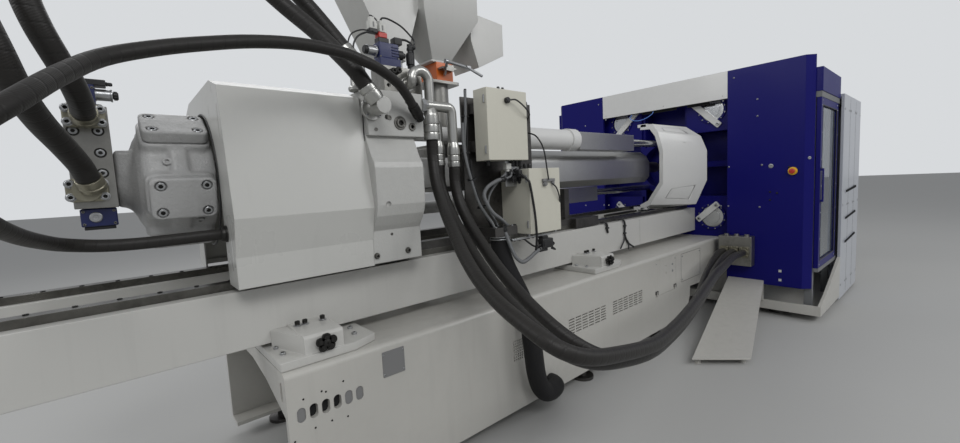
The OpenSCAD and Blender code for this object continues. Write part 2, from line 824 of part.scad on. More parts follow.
module gate(side) {
    scale([1, side, 1])
        difference() {
            span([gate_x, gate_x + gate_length], [-gate_y, -gate_y + 36], gate_z);
            span(
                [gate_x + 60, gate_x + gate_length - 60],
                [-gate_y - 1, -gate_y + 37],
                [gate_z[0] + 70, gate_z[1] - 70]
            );
            span(
                [gate_x + 48, gate_x + gate_length - 48],
                [-gate_y + 14, -gate_y + 22],
                [gate_z[0] + 58, gate_z[1] - 58]
            );
        }
}

module gate_handle(side) {
    scale([1, side, 1]) {
        span([gate_x + 14, gate_x + 36], [-gate_y - 12, -gate_y], [1100, 1120]);
        span([gate_x + 14, gate_x + 36], [-gate_y - 12, -gate_y], [1380, 1400]);
        span([gate_x + 14, gate_x + 36], [-gate_y - 24, -gate_y - 12], [1100, 1400]);
    }
}

module gate_near() {
    color([0.10, 0.12, 0.45]) {
        gate(1);
        gate_handle(1);
    }
}

module gate_far() {
    color([0.10, 0.12, 0.45]) {
        gate(-1);
        gate_handle(-1);
    }
}

module window(side) {
    scale([1, side, 1])
        span(
            [gate_x + 48, gate_x + gate_length - 48],
            [-gate_y + 14, -gate_y + 22],
            [gate_z[0] + 58, gate_z[1] - 58]
        );
}

module window_near() {
    color([0.55, 0.60, 0.65, 0.5])
        window(1);
}

module window_far() {
    color([0.55, 0.60, 0.65, 0.5])
        window(-1);
}

module bed_door() {
    color([0.80, 0.79, 0.75])
        difference() {
            span(door_x, [-bed_side, -bed_side + 6], door_z);
            for (z = [560, 621])
                bar_y((door_x[0] + door_x[1]) / 2, [-bed_side - 1, -bed_side + 3], z, 16);
        }
    color([0.12, 0.12, 0.12])
        for (x = [door_x[0] + 28, door_x[1] - 30])
            span([x - 14, x + 14], [-bed_side - 10, -bed_side], [door_z[0] + 4, door_z[0] + 40]);
}

module connection_block() {
    color([0.50, 0.49, 0.45]) {
        span([connection_x + 40, panel_x], [-955, -660], [480, 771]);
        for (y = [-900, -810, -720])
            bar_z(connection_x + 90, y, [771, 789], 44);
    }
}

module connection_flanges() {
    color([0.56, 0.53, 0.36])
        for (y = connection_y) {
            translate([connection_x + 40, y, connection_z])
                rotate([0, -90, 0])
                    round_plate(104, 80, 22, 16);
            bar_x([connection_x, connection_x + 18], y, connection_z, supply_hose_diameter + 12);
            for (dy = [-24, 24], dz = [-38, 38])
                bar_x([connection_x + 8, connection_x + 18], y + dy, connection_z + dz, 22);
        }
}

module contact_rods() {
    color([0.80, 0.81, 0.82])
        for (s = [1, -1])
            bar_x([carriage_x + 1150, platen_x], s * contact_y, axis_height + s * contact_z, contact_rod);
}

function both_sides(half) =
    concat(half, [for (i = [len(half) - 1:-1:0]) [-half[i][0], half[i][1]]]);

module nozzle_guard() {
    sheet = 6;
    lip = 35;
    n = len(cowl_rear_half);
    rings = [
        [cowl_rear, cowl_rear_half, 1 - lip / 300], [cowl_rear, cowl_rear_half, 1],
        [cowl_front, cowl_front_half, 1], [cowl_front, cowl_front_half, 1 - sheet / 450],
        [cowl_rear + sheet, cowl_rear_half, 1 - sheet / 220],
        [cowl_rear + sheet, cowl_rear_half, 1 - lip / 300]
    ];
    loops = [for (r = rings, p = r[1]) [r[0], p[0] * r[2], p[1] * r[2]]];
    faces = [
        for (ring = [0:5], i = [0:n - 2], t = [0, 1])
            let (a = ring * n + i, b = ring * n + i + 1)
            let (c = ((ring + 1) % 6) * n + i + 1, d = ((ring + 1) % 6) * n + i)
            t == 0 ? [a, b, c] : [a, c, d]
    ];
    ends = [
        for (k = [0, n - 1], t = [[0, 1, 4], [0, 4, 5], [1, 2, 3], [1, 3, 4]])
            let (f = [for (r = t) r * n + k])
            k == 0 ? f : [f[2], f[1], f[0]]
    ];
    color([0.87, 0.87, 0.86]) {
        translate([0, 0, axis_height])
            polyhedron(points = loops, faces = concat(faces, ends));
        span(
            [cowl_front - 130, cowl_front - 50],
            [-slide_rod_y - 24, slide_rod_y + 24],
            [slide_rod_z + 22, axis_height - 436]
        );
        both()
            difference() {
                span(
                    [cowl_front - 130, cowl_front - 50],
                    [-slide_rod_y - 24, -slide_rod_y + 24],
                    [slide_rod_z - 22, slide_rod_z + 22]
                );
                bar_x([cowl_front - 131, cowl_front - 49], -slide_rod_y, slide_rod_z, 24 + 2 * fit);
            }
    }
}

// Injection carriage

module injection_housing() {
    color([0.77, 0.77, 0.75])
        at_carriage()
            difference() {
                union() {
                    prism_x([-housing_length, 0], both_sides(housing_half));
                    both() {
                        span([7 - housing_length, 50], [block_face, -280], [172, 385]);
                        span([7 - housing_length, 5], [-450, -400], [foot, -246]);
                    }
                }
                bar_x([-housing_length - 1, 1], 0, 0, shaft_diameter + 2 * fit);
                both()
                    bar_x([-housing_length - 1, 1], -cylinder_y, 0, injection_rod + 2 * fit);
                both() {
                    bar_y(-154, [block_face - 1, block_face + 30], 260, 24);
                    bar_y(-204, [-522, -510], -150, 26);
                }
            }
}

module drive_hood() {
    x = [-housing_length - hood_length, -housing_length];
    color([0.79, 0.79, 0.78])
        at_carriage() {
            difference() {
                prism_x(x, both_sides(hood_half));
                prism_x(
                    [x[0] + hood_sheet, x[1] + 1],
                    both_sides(concat([[hood_inner_half[0][0], foot - 50]], hood_inner_half))
                );
                bar_x([x[0] - 1, x[0] + hood_sheet + 1], 0, 0, 2 * cap_radius + 24);
                span([x[0] - 1, x[0] + hood_sheet + 1], [-cap_radius - 12, cap_radius + 12], [foot - 60, 0]);
                span([x[0] - 1, x[0] + hood_sheet + 1], [-392, -384], [150, 280]);
            }
            both()
                span([x[0] + hood_sheet, x[1]], [-450 + hood_sheet, -430], [foot - 6, foot + 20]);
        }
}

module carriage_frame() {
    color([0.30, 0.30, 0.30])
        at_carriage() {
            both() {
                span([0, 1800], [-rail_y - 30, -rail_y + 30], [foot, foot + 46]);
                span([5 - housing_length, 0], [-rail_y - 74, -rail_y - 30 - play], [foot - 28, foot]);
                span([1500, 1800], [-rail_y - 74, -rail_y - 30 - play], [foot - 28, foot + 1]);
                span([1500, 1800], [-rail_y - 74, -rail_y - 29], [foot, foot + 46]);
            }
            difference() {
                span([1500, 1556], [-rail_y + 30, rail_y - 30], [foot + 4, -guard_diameter / 2]);
                bar_x([1499, 1557], -contact_y, -contact_z, contact_cylinder + 6);
            }
            span(
                [upper_box_x[0] - 20, lower_box_x[1] + 10],
                [box_plate_y, box_plate_y + 12],
                [lower_box_z[0] + 60, upper_box_z[1] - 20]
            );
            span(
                [upper_box_x[0] + 30, upper_box_x[1] - 30],
                [-450, box_plate_y],
                [upper_box_z[0] + 60, upper_box_z[0] + 120]
            );
            span(
                [upper_box_x[0] + 30, upper_box_x[1] - 30],
                [-450, box_plate_y],
                [upper_box_z[1] - 120, upper_box_z[1] - 60]
            );
            span(
                [sleeve_top[0] - 90, sleeve_top[0] + 90],
                [sleeve_top[1] - 60, box_plate_y],
                [sleeve_top[2], sleeve_top[2] + 50]
            );
            span(
                [sleeve_top[0] - 90, sleeve_top[0] + 90],
                [box_plate_y, box_plate_y + 12],
                [sleeve_top[2], lower_box_z[0] + 60]
            );
            span([upper_box_x[0], upper_box_x[0] + 50], [box_plate_y + 12, -rail_y - 30], [foot, foot + 46]);
            span([lower_box_x[1] - 50, lower_box_x[1]], [box_plate_y + 12, -rail_y - 30], [foot, foot + 46]);
            span(
                [upper_box_x[0], upper_box_x[0] + 50],
                [box_plate_y, box_plate_y + 12],
                [foot, lower_box_z[0] + 60]
            );
            span(
                [lower_box_x[1] - 50, lower_box_x[1]],
                [box_plate_y, box_plate_y + 12],
                [foot, lower_box_z[0] + 60]
            );
        }
}

guard_x = [1000, 1000 + guard_length];
nozzle_tip = carriage_setback - 25;

module barrel() {
    color([0.48, 0.47, 0.46])
        at_carriage()
            difference() {
                union() {
                    bar_x([0, 60], 0, 0, 300);
                    bar_x([60, guard_x[1] + 60], 0, 0, barrel_diameter);
                    bar_x([guard_x[1] - 84, guard_x[1] - 22], 0, 0, barrel_diameter + 54);
                    for (k = [0:11])
                        rotate([30 * k, 0, 0])
                            bar_x([guard_x[1] - 22, guard_x[1] - 4], 0, barrel_diameter / 2 + 11, 24);
                    bar_x([guard_x[1] + 60, nozzle_tip - 200], 0, 0, barrel_diameter * 0.6);
                    translate([nozzle_tip - 200, 0, 0])
                        rotate([0, 90, 0])
                            cylinder(h = 200, d1 = barrel_diameter * 0.42, d2 = 36);
                }
                bar_x([-1, guard_x[1] + 20], 0, 0, screw_diameter + 2 * fit);
                bar_x([guard_x[1] + 10, nozzle_tip + 1], 0, 0, 16);
                bar_z(hopper_x, 0, [0, barrel_diameter], 80);
            }
}

module heater_bands() {
    start = hopper_x + 150;
    pitch = (guard_x[1] - 40 - start) / 7;
    color([0.62, 0.60, 0.56])
        at_carriage()
            for (i = [0:6])
                difference() {
                    bar_x([start + i * pitch, start + (i + 0.82) * pitch], 0, 0, barrel_diameter + 34);
                    bar_x([start + i * pitch - 1, start + (i + 0.82) * pitch + 1], 0, 0, barrel_diameter);
                }
}

module barrel_guard() {
    reach = guard_diameter / 2;
    outer = [for (p = guard_half) reach * p];
    inner = [for (p = guard_half) (reach - 4) * p];
    end = guard_x[1] - 90;
    color([0.66, 0.66, 0.65])
        at_carriage() {
            difference() {
                prism_x([guard_x[0], end], both_sides(outer));
                prism_x([guard_x[0] + 4, end - 4], both_sides(inner));
                bar_x([guard_x[0] - 1, guard_x[0] + 5], 0, 0, barrel_diameter + 40);
                bar_x([guard_x[0] - 1, end + 1], 0, 0, barrel_diameter + 4);
            }
            for (s = [1, -1])
                translate([contact_head[1], s * contact_y, s * contact_z])
                    difference() {
                        span([0, 830], [-72, 72], [-80, 60]);
                        span([4, 826], [-68, 68], [-76, 56]);
                        bar_x([-1, 831], 0, 0, contact_rod + 8);
                    }
        }
}

module carriage_cylinders() {
    color([0.83, 0.83, 0.81])
        at_carriage() {
            for (s = [1, -1])
                translate([0, s * contact_y, s * contact_z])
                    difference() {
                        union() {
                            bar_x([0, 30], 0, 0, 150);
                            bar_x([30, 700], 0, 0, 90);
                            bar_x([700, contact_head[0]], 0, 0, contact_cylinder);
                            bar_x(contact_head, 0, 0, contact_cylinder + 20);
                        }
                        bar_x([740, contact_head[0] - 7], 0, 0, 110);
                        bar_x([contact_head[0] - 8, contact_head[1] + 1], 0, 0, contact_rod + 2 * fit);
                    }
            both()
                difference() {
                    union() {
                        bar_x([0, 25], -cylinder_y, 0, 190);
                        bar_x([25, 350], -cylinder_y, 0, 170);
                    }
                    bar_x([-1, 325], -cylinder_y, 0, injection_rod + 2 * fit);
                }
        }
}

module feed_throat() {
    color([0.55, 0.55, 0.54])
        at_carriage()
            difference() {
                union() {
                    span([hopper_x - 130, hopper_x + 130], [-130, 130], [-120, 160]);
                    bar_z(hopper_x, 0, [160, 560], 150);
                    translate([hopper_x, 0, 560])
                        round_plate(220, 220, 18, 20);
                    translate([hopper_x, 0, 150])
                        round_plate(250, 250, 30, 20);
                }
                bar_z(hopper_x, 0, [0, 600], 80);
                bar_x([hopper_x - 131, hopper_x + 131], 0, 0, barrel_diameter);
            }
}

module gate_block() {
    color([0.86, 0.42, 0.08])
        at_carriage()
            difference() {
                span([hopper_x - 64, hopper_x + 64], [-100, 100], [578, 690]);
                bar_z(hopper_x, 0, [577, 691], 80);
                span([hopper_x - 55, hopper_x + 55], [-101, 90], [640, 652]);
            }
}

module slide_gate() {
    color([0.70, 0.70, 0.70])
        at_carriage()
            difference() {
                union() {
                    span([hopper_x - 54, hopper_x + 54], [-150, 88], [640 + play, 652 - play]);
                    span([hopper_x - 30, hopper_x + 30], [-158, -150], [628, 664]);
                }
                bar_z(hopper_x, 30, [639, 653], 80);
            }
}

module pyramid(x, y, half_low, half_high, z) {
    intersection() {
        prism_x([x - 400, x + 400], [
            [y - half_low, z[0]], [y + half_low, z[0]], [y + half_high, z[1]], [y - half_high, z[1]]
        ]);
        prism_y([y - 400, y + 400], [
            [x - half_low, z[0]], [x + half_low, z[0]], [x + half_high, z[1]], [x - half_high, z[1]]
        ]);
    }
}

module hopper() {
    wall = 5;
    color([0.80, 0.80, 0.79])
        at_carriage() {
            difference() {
                union() {
                    pyramid(hopper_x, 0, 60, hopper_half, [690, 949]);
                    span(
                        [hopper_x - hopper_half, hopper_x + hopper_half],
                        [-hopper_half, hopper_half],
                        [949, hopper_top]
                    );
                    translate([hopper_x, 0, 690])
                        round_plate(190, 190, 12, 12);
                }
                pyramid(hopper_x, 0, 40, hopper_half - wall, [689, 949]);
                span(
                    [hopper_x - hopper_half + wall, hopper_x + hopper_half - wall],
                    [-hopper_half + wall, hopper_half - wall],
                    [948.9, hopper_top + 1]
                );
            }
            prism_y([-130, 130], [
                [hopper_x + hopper_half, 860], [hopper_x + hopper_half + 60, 690], [985, 800],
                [985, 1010], [hopper_x + hopper_half, 1030]
            ]);
            prism_y([-150, 110], [
                [hopper_x - hopper_half, 960], [hopper_x - hopper_half, 1330], [-120, 1330],
                [-200, 1180], [hopper_x - hopper_half - 250, 720], [hopper_x - hopper_half - 110, 640]
            ]);
        }
}

module hopper_lid() {
    color([0.82, 0.82, 0.81])
        at_carriage() {
            translate([hopper_x, 0, hopper_top])
                round_plate(2 * hopper_half + 20, 2 * hopper_half + 20, 14, 12);
            span(
                [hopper_x - 50, hopper_x - 42],
                [-hopper_half + 30, -hopper_half + 38],
                [hopper_top + 14, hopper_top + 44]
            );
            span(
                [hopper_x + 42, hopper_x + 50],
                [-hopper_half + 30, -hopper_half + 38],
                [hopper_top + 14, hopper_top + 44]
            );
            span(
                [hopper_x - 50, hopper_x + 50],
                [-hopper_half + 30, -hopper_half + 38],
                [hopper_top + 44, hopper_top + 52]
            );
        }
}

module box_body(x, y, z) {
    difference() {
        span(x, y, z);
        span([x[0] + 3, x[1] - 3], [y[0] - 1, y[1] - 3], [z[0] + 3, z[1] - 3]);
    }
    span([x[0] + 30, x[1] - 30], [y[1] - 25, y[1] - 3], [z[0] + 40, z[1] - 40]);
}

module upper_box() {
    color([0.74, 0.74, 0.72])
        at_carriage()
            box_body(upper_box_x, [-542, -450], upper_box_z);
}

module lower_box() {
    color([0.74, 0.74, 0.72])
        at_carriage()
            box_body(lower_box_x, [-582, box_plate_y], lower_box_z);
}

module upper_door() {
    color([0.80, 0.80, 0.78])
        at_carriage() {
            span(upper_box_x, [-560, -542 - play], upper_box_z);
            bar_y(upper_box_x[0] + 150, [-584, -560], upper_box_z[1] - 62, 34);
        }
}

module lower_door() {
    color([0.80, 0.80, 0.78])
        at_carriage() {
            span(lower_box_x, [-600, -582 - play], lower_box_z);
            span([lower_box_x[0] + 110, lower_box_x[0] + 220], [-616, -600], [-86, -68]);
            bar_y(lower_box_x[0] + 130, [-622, -600], -100, 30);
        }
}

module pressure_pipes() {
    color([0.72, 0.72, 0.70])
        at_carriage() {
            span([-117, 105], [-400, -270], [385, manifold_top]);
            bar_y(arch_x - arch_radius, [ferrule[0][1] - arch_pipe / 2, -400], arch_z - 15, arch_pipe);
            bar_z(arch_x - arch_radius, ferrule[0][1], [arch_z - 15, arch_z], arch_pipe);
            translate([arch_x, ferrule[0][1], arch_z])
                rotate([90, 0, 0])
                    rotate_extrude(angle = 180)
                        translate([arch_radius, 0])
                            circle(d = arch_pipe);
            bar_z(ferrule[0][0], ferrule[0][1], [325, arch_z], arch_pipe);
            bar_z(ferrule[0][0], ferrule[0][1], [ferrule[0][2], 325], 88);
            bar_z(ferrule[1][0], ferrule[1][1], [ferrule[1][2], 161], 70);
            bar_z(ferrule[1][0], ferrule[1][1], [161, 300], 54);
            bar_x([50, ferrule[1][0]], ferrule[1][1], 268, 48);
            bar_z(ferrule[2][0], ferrule[2][1], [ferrule[2][2], 150], 70);
            bar_z(ferrule[2][0], ferrule[2][1], [150, 366], 54);
            bar_x([50, ferrule[2][0]], ferrule[2][1], 334, 48);
            bar_y(-235, [block_face - 18, block_face], 290, 104);
            bar_y(-235, [-598, block_face - 18], 290, 72);
            hose_tail(upper_route, motor_hose_diameter + 10, 76);
            hose_tail(lower_route, motor_hose_diameter + 10, 76);
            bar_z(-250, -395, [385, 530], 72);
            bar_y(20, [-505, block_face], 265, 44);
            hose_root(drain_route, drain_hose_diameter + 9, 90);
            bar_x([-housing_length - hood_length - 22, -housing_length - hood_length], -330, -226, 60);
        }
}

module carriage_screws() {
    color([0.35, 0.35, 0.35])
        at_carriage()
            both() {
                screw_y(-85, block_face - 12, 236, 66, 12);
                screw_y(-18, block_face - 8, 220, 40, 8);
                screw_y(-248, -456, foot + 39, 24, 6);
                screw_y(-76, -456, foot + 43, 24, 6);
            }
}

module top_valves() {
    color([0.16, 0.20, 0.55])
        at_carriage() {
            span([-113, 6], [-370, -290], [manifold_top, 650]);
            span([-109, -39], [-350, -310], [650, 700]);
            bar_x([-178, -113], -330, 606, 52);
            bar_x([6, 50], -330, 606, 46);
            bar_z(80, -340, [manifold_top, 638], 44);
        }
}

module motor_arm() {
    for (i = [0:4])
        rotate([first_cylinder_angle + 72 * i, 0, 0])
            children();
}

module motor_casing() {
    middle = motor_rear + casing_length / 2;
    color([0.66, 0.66, 0.65])
        at_carriage() {
            difference() {
                union() {
                    bar_x([motor_rear, motor_front], 0, 0, casing_diameter);
                    translate([motor_rear - 24, 0, 0])
                        rotate([0, 90, 0])
                            cylinder(h = 24, d1 = casing_diameter - 70, d2 = casing_diameter - 10);
                    bar_x([neck_rear, motor_rear - 20], 0, 0, 200);
                    motor_arm() {
                        translate([middle, 0, 0])
                            round_plate(
                                casing_length - 8,
                                cap_width + 14,
                                cap_radius - cap_thickness - 6,
                                40
                            );
                        translate([middle, 0, cap_radius - cap_thickness - 6])
                            round_plate(cap_length - 12, cap_width - 12, 6, 26);
                        translate([middle, 0, cap_radius - cap_thickness])
                            round_plate(cap_length, cap_width, cap_thickness, 26);
                    }
                }
                motor_arm()
                    for (x = [-cap_screw_x, cap_screw_x], y = [-cap_screw_y, cap_screw_y])
                        translate([middle + x, y, cap_radius - 12])
                            cylinder(h = 13, d = 40);
                bar_x([motor_front - 60, motor_front + 1], 0, 0, shaft_diameter);
            }
        }
}

module motor_screws() {
    middle = motor_rear + casing_length / 2;
    color([0.30, 0.30, 0.30])
        at_carriage() {
            motor_arm()
                for (x = [-cap_screw_x, cap_screw_x], y = [-cap_screw_y, cap_screw_y])
                    translate([middle + x, y, cap_radius - 12])
                        difference() {
                            cylinder(h = 11, d = 31);
                            translate([0, 0, 4])
                                cylinder(h = 8, d = 16, $fn = 6);
                        }
            for (p = [[-40, 180], [-98, 120], [-24, 110], [-92, 34]])
                screw_y(neck_rear + p[0], port_face - 5, p[1], 26, 5);
        }
}

module port_block() {
    color([0.52, 0.51, 0.47])
        at_carriage()
            difference() {
                span([port_rear, neck_rear], [port_face, 120], [-95, 280]);
                bar_y(port_rear + 22, [port_face - 1, port_face + 8], 118, 12);
            }
}

module split_flanges() {
    color([0.56, 0.53, 0.30])
        at_carriage()
            for (port = [upper_port, lower_port]) {
                translate([port[0], port_face, port[1]])
                    rotate([90, 0, 0])
                        round_plate(118, 84, 34, 20);
                bar_y(port[0], [-232, port_face - 34], port[1], 82);
                for (x = [-46, 46], z = [-24, 24])
                    bar_y(port[0] + x, [port_face - 48, port_face - 34], port[1] + z, 26);
            }
    color([0.56, 0.53, 0.30])
        at_carriage() {
            hose_root(upper_route, motor_hose_diameter + 10, 45);
            hose_root(lower_route, motor_hose_diameter + 10, 50);
        }
}

module pilot_valve() {
    color([0.05, 0.09, 0.42])
        at_carriage() {
            span([neck_rear - 64, neck_rear - 28], [-150, -70], [280, 362]);
            span([port_rear + 12, neck_rear - 8], [-150, 100], [-165, -95]);
            bar_y(neck_rear - 70, [-160, -150], -128, 38);
            bar_x([neck_rear - 28, neck_rear + 22], -110, 332, 44);
            bar_x([neck_rear + 22, neck_rear + 40], -110, 332, 30);
        }
}

module drive_yoke() {
    yoke = -housing_length - 250;
    color([0.60, 0.60, 0.59])
        at_carriage() {
            difference() {
                bar_x([motor_front - 60, -20], 0, 0, shaft_diameter);
                bar_x([-240, -19], 0, 0, screw_diameter);
            }
            difference() {
                translate([yoke, 0, 0])
                    rotate([0, 90, 0])
                        round_plate(300, 2 * cylinder_y + 180, 90, 60);
                bar_x([yoke - 1, yoke + 91], 0, 0, shaft_diameter);
            }
            both()
                bar_x([yoke + 90, 310], -cylinder_y, 0, injection_rod);
        }
}

module screw() {
    color([0.72, 0.72, 0.71])
        at_carriage() {
            bar_x([-240, hopper_x - 90], 0, 0, screw_diameter);
            bar_x([hopper_x - 90, guard_x[1] - 120], 0, 0, screw_diameter - 16);
            bar_x([guard_x[1] - 120, guard_x[1] - 60], 0, 0, screw_diameter);
            translate([guard_x[1] - 60, 0, 0])
                rotate([0, 90, 0])
                    cylinder(h = 70, d1 = screw_diameter - 10, d2 = 20);
        }
}

// Hoses

module hose_upper() {
    color([0.09, 0.08, 0.07])
        at_carriage()
            hose(upper_route, motor_hose_diameter, 1);
}

module hose_lower() {
    color([0.09, 0.08, 0.07])
        at_carriage()
            hose(lower_route, motor_hose_diameter, 1);
}

module hose_drain() {
    color([0.09, 0.08, 0.07])
        at_carriage()
            hose(drain_route, drain_hose_diameter, 1);
}

module hose_supply(i) {
    front = [for (p = supply_front[i]) p + [connection_x - carriage_x, 0, connection_z - axis_height]];
    color([0.09, 0.08, 0.07])
        at_carriage()
            hose(concat(supply_rear[i], front), supply_hose_diameter, 1);
}

module hose_supply_a() {
    hose_supply(0);
}

module hose_supply_b() {
    hose_supply(1);
}

module hose_supply_c() {
    hose_supply(2);
}

module energy_sleeve() {
    color([0.05, 0.05, 0.05])
        at_carriage()
            translate(sleeve_top)
                hose(sleeve_route, 110, 1);
}

bed();
support_brackets();
slide_beams();
rails();
base_fixings();
fixed_platen();
tie_bars();
rear_panels();
clamp_frame();
side_panels();
clamp_base();
clamp_covers();
estop_housing();
connection_block();
connection_flanges();
contact_rods();
traverse_cylinders();
estop_button();
bed_door();
gate_near();
window_near();
gate_far();
window_far();
moving_platen();
traverse_rods();
ejector();
nozzle_guard();
injection_housing();
drive_hood();
carriage_frame();
barrel();
heater_bands();
barrel_guard();
carriage_cylinders();
feed_throat();
gate_block();
slide_gate();
hopper();
hopper_lid();
upper_box();
upper_door();
lower_box();
lower_door();
pressure_pipes();
carriage_screws();
top_valves();
motor_casing();
motor_screws();
port_block();
split_flanges();
pilot_valve();
drive_yoke();
screw();
hose_upper();
hose_lower();
hose_drain();
hose_supply_a();
hose_supply_b();
hose_supply_c();
energy_sleeve();
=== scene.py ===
import json
import math

import bmesh
import bpy
from mathutils import Matrix, Vector

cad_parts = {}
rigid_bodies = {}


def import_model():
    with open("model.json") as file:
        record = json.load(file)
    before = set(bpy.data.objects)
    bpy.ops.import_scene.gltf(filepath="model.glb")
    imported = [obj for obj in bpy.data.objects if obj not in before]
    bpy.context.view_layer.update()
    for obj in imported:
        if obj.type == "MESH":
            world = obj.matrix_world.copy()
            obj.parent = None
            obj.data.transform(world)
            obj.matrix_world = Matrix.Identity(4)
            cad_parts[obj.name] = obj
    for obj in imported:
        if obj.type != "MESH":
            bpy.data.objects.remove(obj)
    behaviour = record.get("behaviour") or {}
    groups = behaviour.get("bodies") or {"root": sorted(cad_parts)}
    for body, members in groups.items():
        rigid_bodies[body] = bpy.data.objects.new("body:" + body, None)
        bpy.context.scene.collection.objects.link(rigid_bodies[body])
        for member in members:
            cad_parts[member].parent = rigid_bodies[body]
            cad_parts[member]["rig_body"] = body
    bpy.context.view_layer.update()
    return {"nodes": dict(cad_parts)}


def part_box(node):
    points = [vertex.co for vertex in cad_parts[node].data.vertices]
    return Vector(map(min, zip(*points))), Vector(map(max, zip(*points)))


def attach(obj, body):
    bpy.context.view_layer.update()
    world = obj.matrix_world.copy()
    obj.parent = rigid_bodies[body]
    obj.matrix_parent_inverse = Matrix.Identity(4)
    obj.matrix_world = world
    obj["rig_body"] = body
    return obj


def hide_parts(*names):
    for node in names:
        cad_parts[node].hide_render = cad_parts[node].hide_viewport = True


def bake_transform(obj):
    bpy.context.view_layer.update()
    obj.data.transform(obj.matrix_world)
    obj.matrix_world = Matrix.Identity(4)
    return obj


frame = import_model()
nodes = frame["nodes"]
print("stage: frame loaded,", len(nodes), "nodes")


# camera
cameraSet = {
    "place": (-3.930, -2.286, 1.430), "yaw": 40.98, "pitch": 5.31, "roll": -2.885,
    "lens": 15.825, "sensor": 36.0, "far": 100.0,
}


def lookFrom(yawDeg, pitchDeg, rollDeg):
    yaw, pitch, roll = math.radians(yawDeg), math.radians(pitchDeg), math.radians(rollDeg)
    ahead = Vector((math.sin(yaw) * math.cos(pitch), math.cos(yaw) * math.cos(pitch), -math.sin(pitch)))
    level = Vector((math.cos(yaw), -math.sin(yaw), 0.0))
    above = level.cross(ahead)
    right = math.cos(roll) * level + math.sin(roll) * above
    up = -math.sin(roll) * level + math.cos(roll) * above
    return Matrix((right, up, -ahead)).transposed().to_4x4()


def addToScene(name, data):
    obj = bpy.data.objects.new(name, data)
    bpy.context.scene.collection.objects.link(obj)
    return obj


cameraData = bpy.data.cameras.new("camera")
cameraData.sensor_fit = "HORIZONTAL"
cameraData.sensor_width = cameraSet["sensor"]
cameraData.lens = cameraSet["lens"]
cameraData.clip_end = cameraSet["far"]
camera = addToScene("camera", cameraData)
camera.matrix_world = Matrix.Translation(cameraSet["place"]) @ lookFrom(
    cameraSet["yaw"], cameraSet["pitch"], cameraSet["roll"])
bpy.context.scene.camera = camera
bpy.context.scene.view_settings.view_transform = "Standard"


# material helpers
def startMaterial(name):
    mat = bpy.data.materials.new(name)
    mat.use_nodes = True
    tree = mat.node_tree
    tree.nodes.clear()
    bsdf = put(tree, "BsdfPrincipled")
    put(tree, "OutputMaterial", {0: bsdf.outputs[0]})
    return mat, tree, bsdf


def feed(tree, node, values):
    # values: socket name or number -> plain value, or another node's socket
    for key, value in values.items():
        if isinstance(value, bpy.types.NodeSocket):
            tree.links.new(value, node.inputs[key])
        else:
            node.inputs[key].default_value = value


def put(tree, kind, values=None, **props):
    node = tree.nodes.new("ShaderNode" + kind)
    for key, value in props.items():
        setattr(node, key, value)
    feed(tree, node, values or {})
    return node


def objectCoords(tree, scale=(1, 1, 1)):
    coords = put(tree, "TexCoord")
    return put(tree, "Mapping", {"Vector": coords.outputs["Object"], "Scale": scale}).outputs[0]


def cloud(tree, vector, scale, detail, rough=0.55):
    return put(tree, "TexNoise", {"Vector": vector, "Scale": scale, "Detail": detail,
                                  "Roughness": rough}).outputs["Fac"]


def ramp(tree, fac, start, end, low=0.0, high=1.0):
    # grey: low up to the start, high from the end on
    node = put(tree, "ValToRGB", {0: fac})
    for one, place, grey in zip(node.color_ramp.elements, (start, end), (low, high)):
        one.position = place
        one.color = (grey, grey, grey, 1)
    return node.outputs[0]


def opaque(colour):
    return colour if isinstance(colour, bpy.types.NodeSocket) else (*colour, 1)


def blendColour(tree, fac, first, second):
    return put(tree, "Mix", {0: fac, 6: opaque(first), 7: opaque(second)}, data_type="RGBA").outputs[2]


def sums(tree, kind, first, second=0.0, third=0.0, clamp=False):
    return put(tree, "Math", {0: first, 1: second, 2: third}, operation=kind, use_clamp=clamp).outputs[0]


def times(tree, first, second, clamp=False):
    return sums(tree, "MULTIPLY", first, second, clamp=clamp)


def spread(tree, fac, width, base):
    return sums(tree, "MULTIPLY_ADD", fac, width, base)


def scaled(colour, share, lift=0.0):
    return tuple(min(1.0, c * share + lift) for c in colour)


def upward(tree):
    # height share of the surface normal: 1 on faces that look up
    return put(tree, "SeparateXYZ", {0: put(tree, "NewGeometry").outputs["Normal"]}).outputs[2]


def roundedNormal(tree, radius):
    return put(tree, "Bevel", {"Radius": radius}, samples=4).outputs[0]


edgeGain = 6.0


def edgeMask(tree, radius):
    # 1 on corners, 0 on flat faces: the rounded normal leans away from the flat one there
    flat = put(tree, "NewGeometry").outputs["Normal"]
    dot = put(tree, "VectorMath", {0: roundedNormal(tree, radius), 1: flat}, operation="DOT_PRODUCT")
    return times(tree, sums(tree, "SUBTRACT", 1.0, dot.outputs["Value"]), edgeGain, clamp=True)


def bumped(tree, strength, distance, height, edge=None):
    values = {"Strength": strength, "Distance": distance, "Height": height}
    if edge:
        values["Normal"] = roundedNormal(tree, edge)
    return put(tree, "Bump", values).outputs[0]


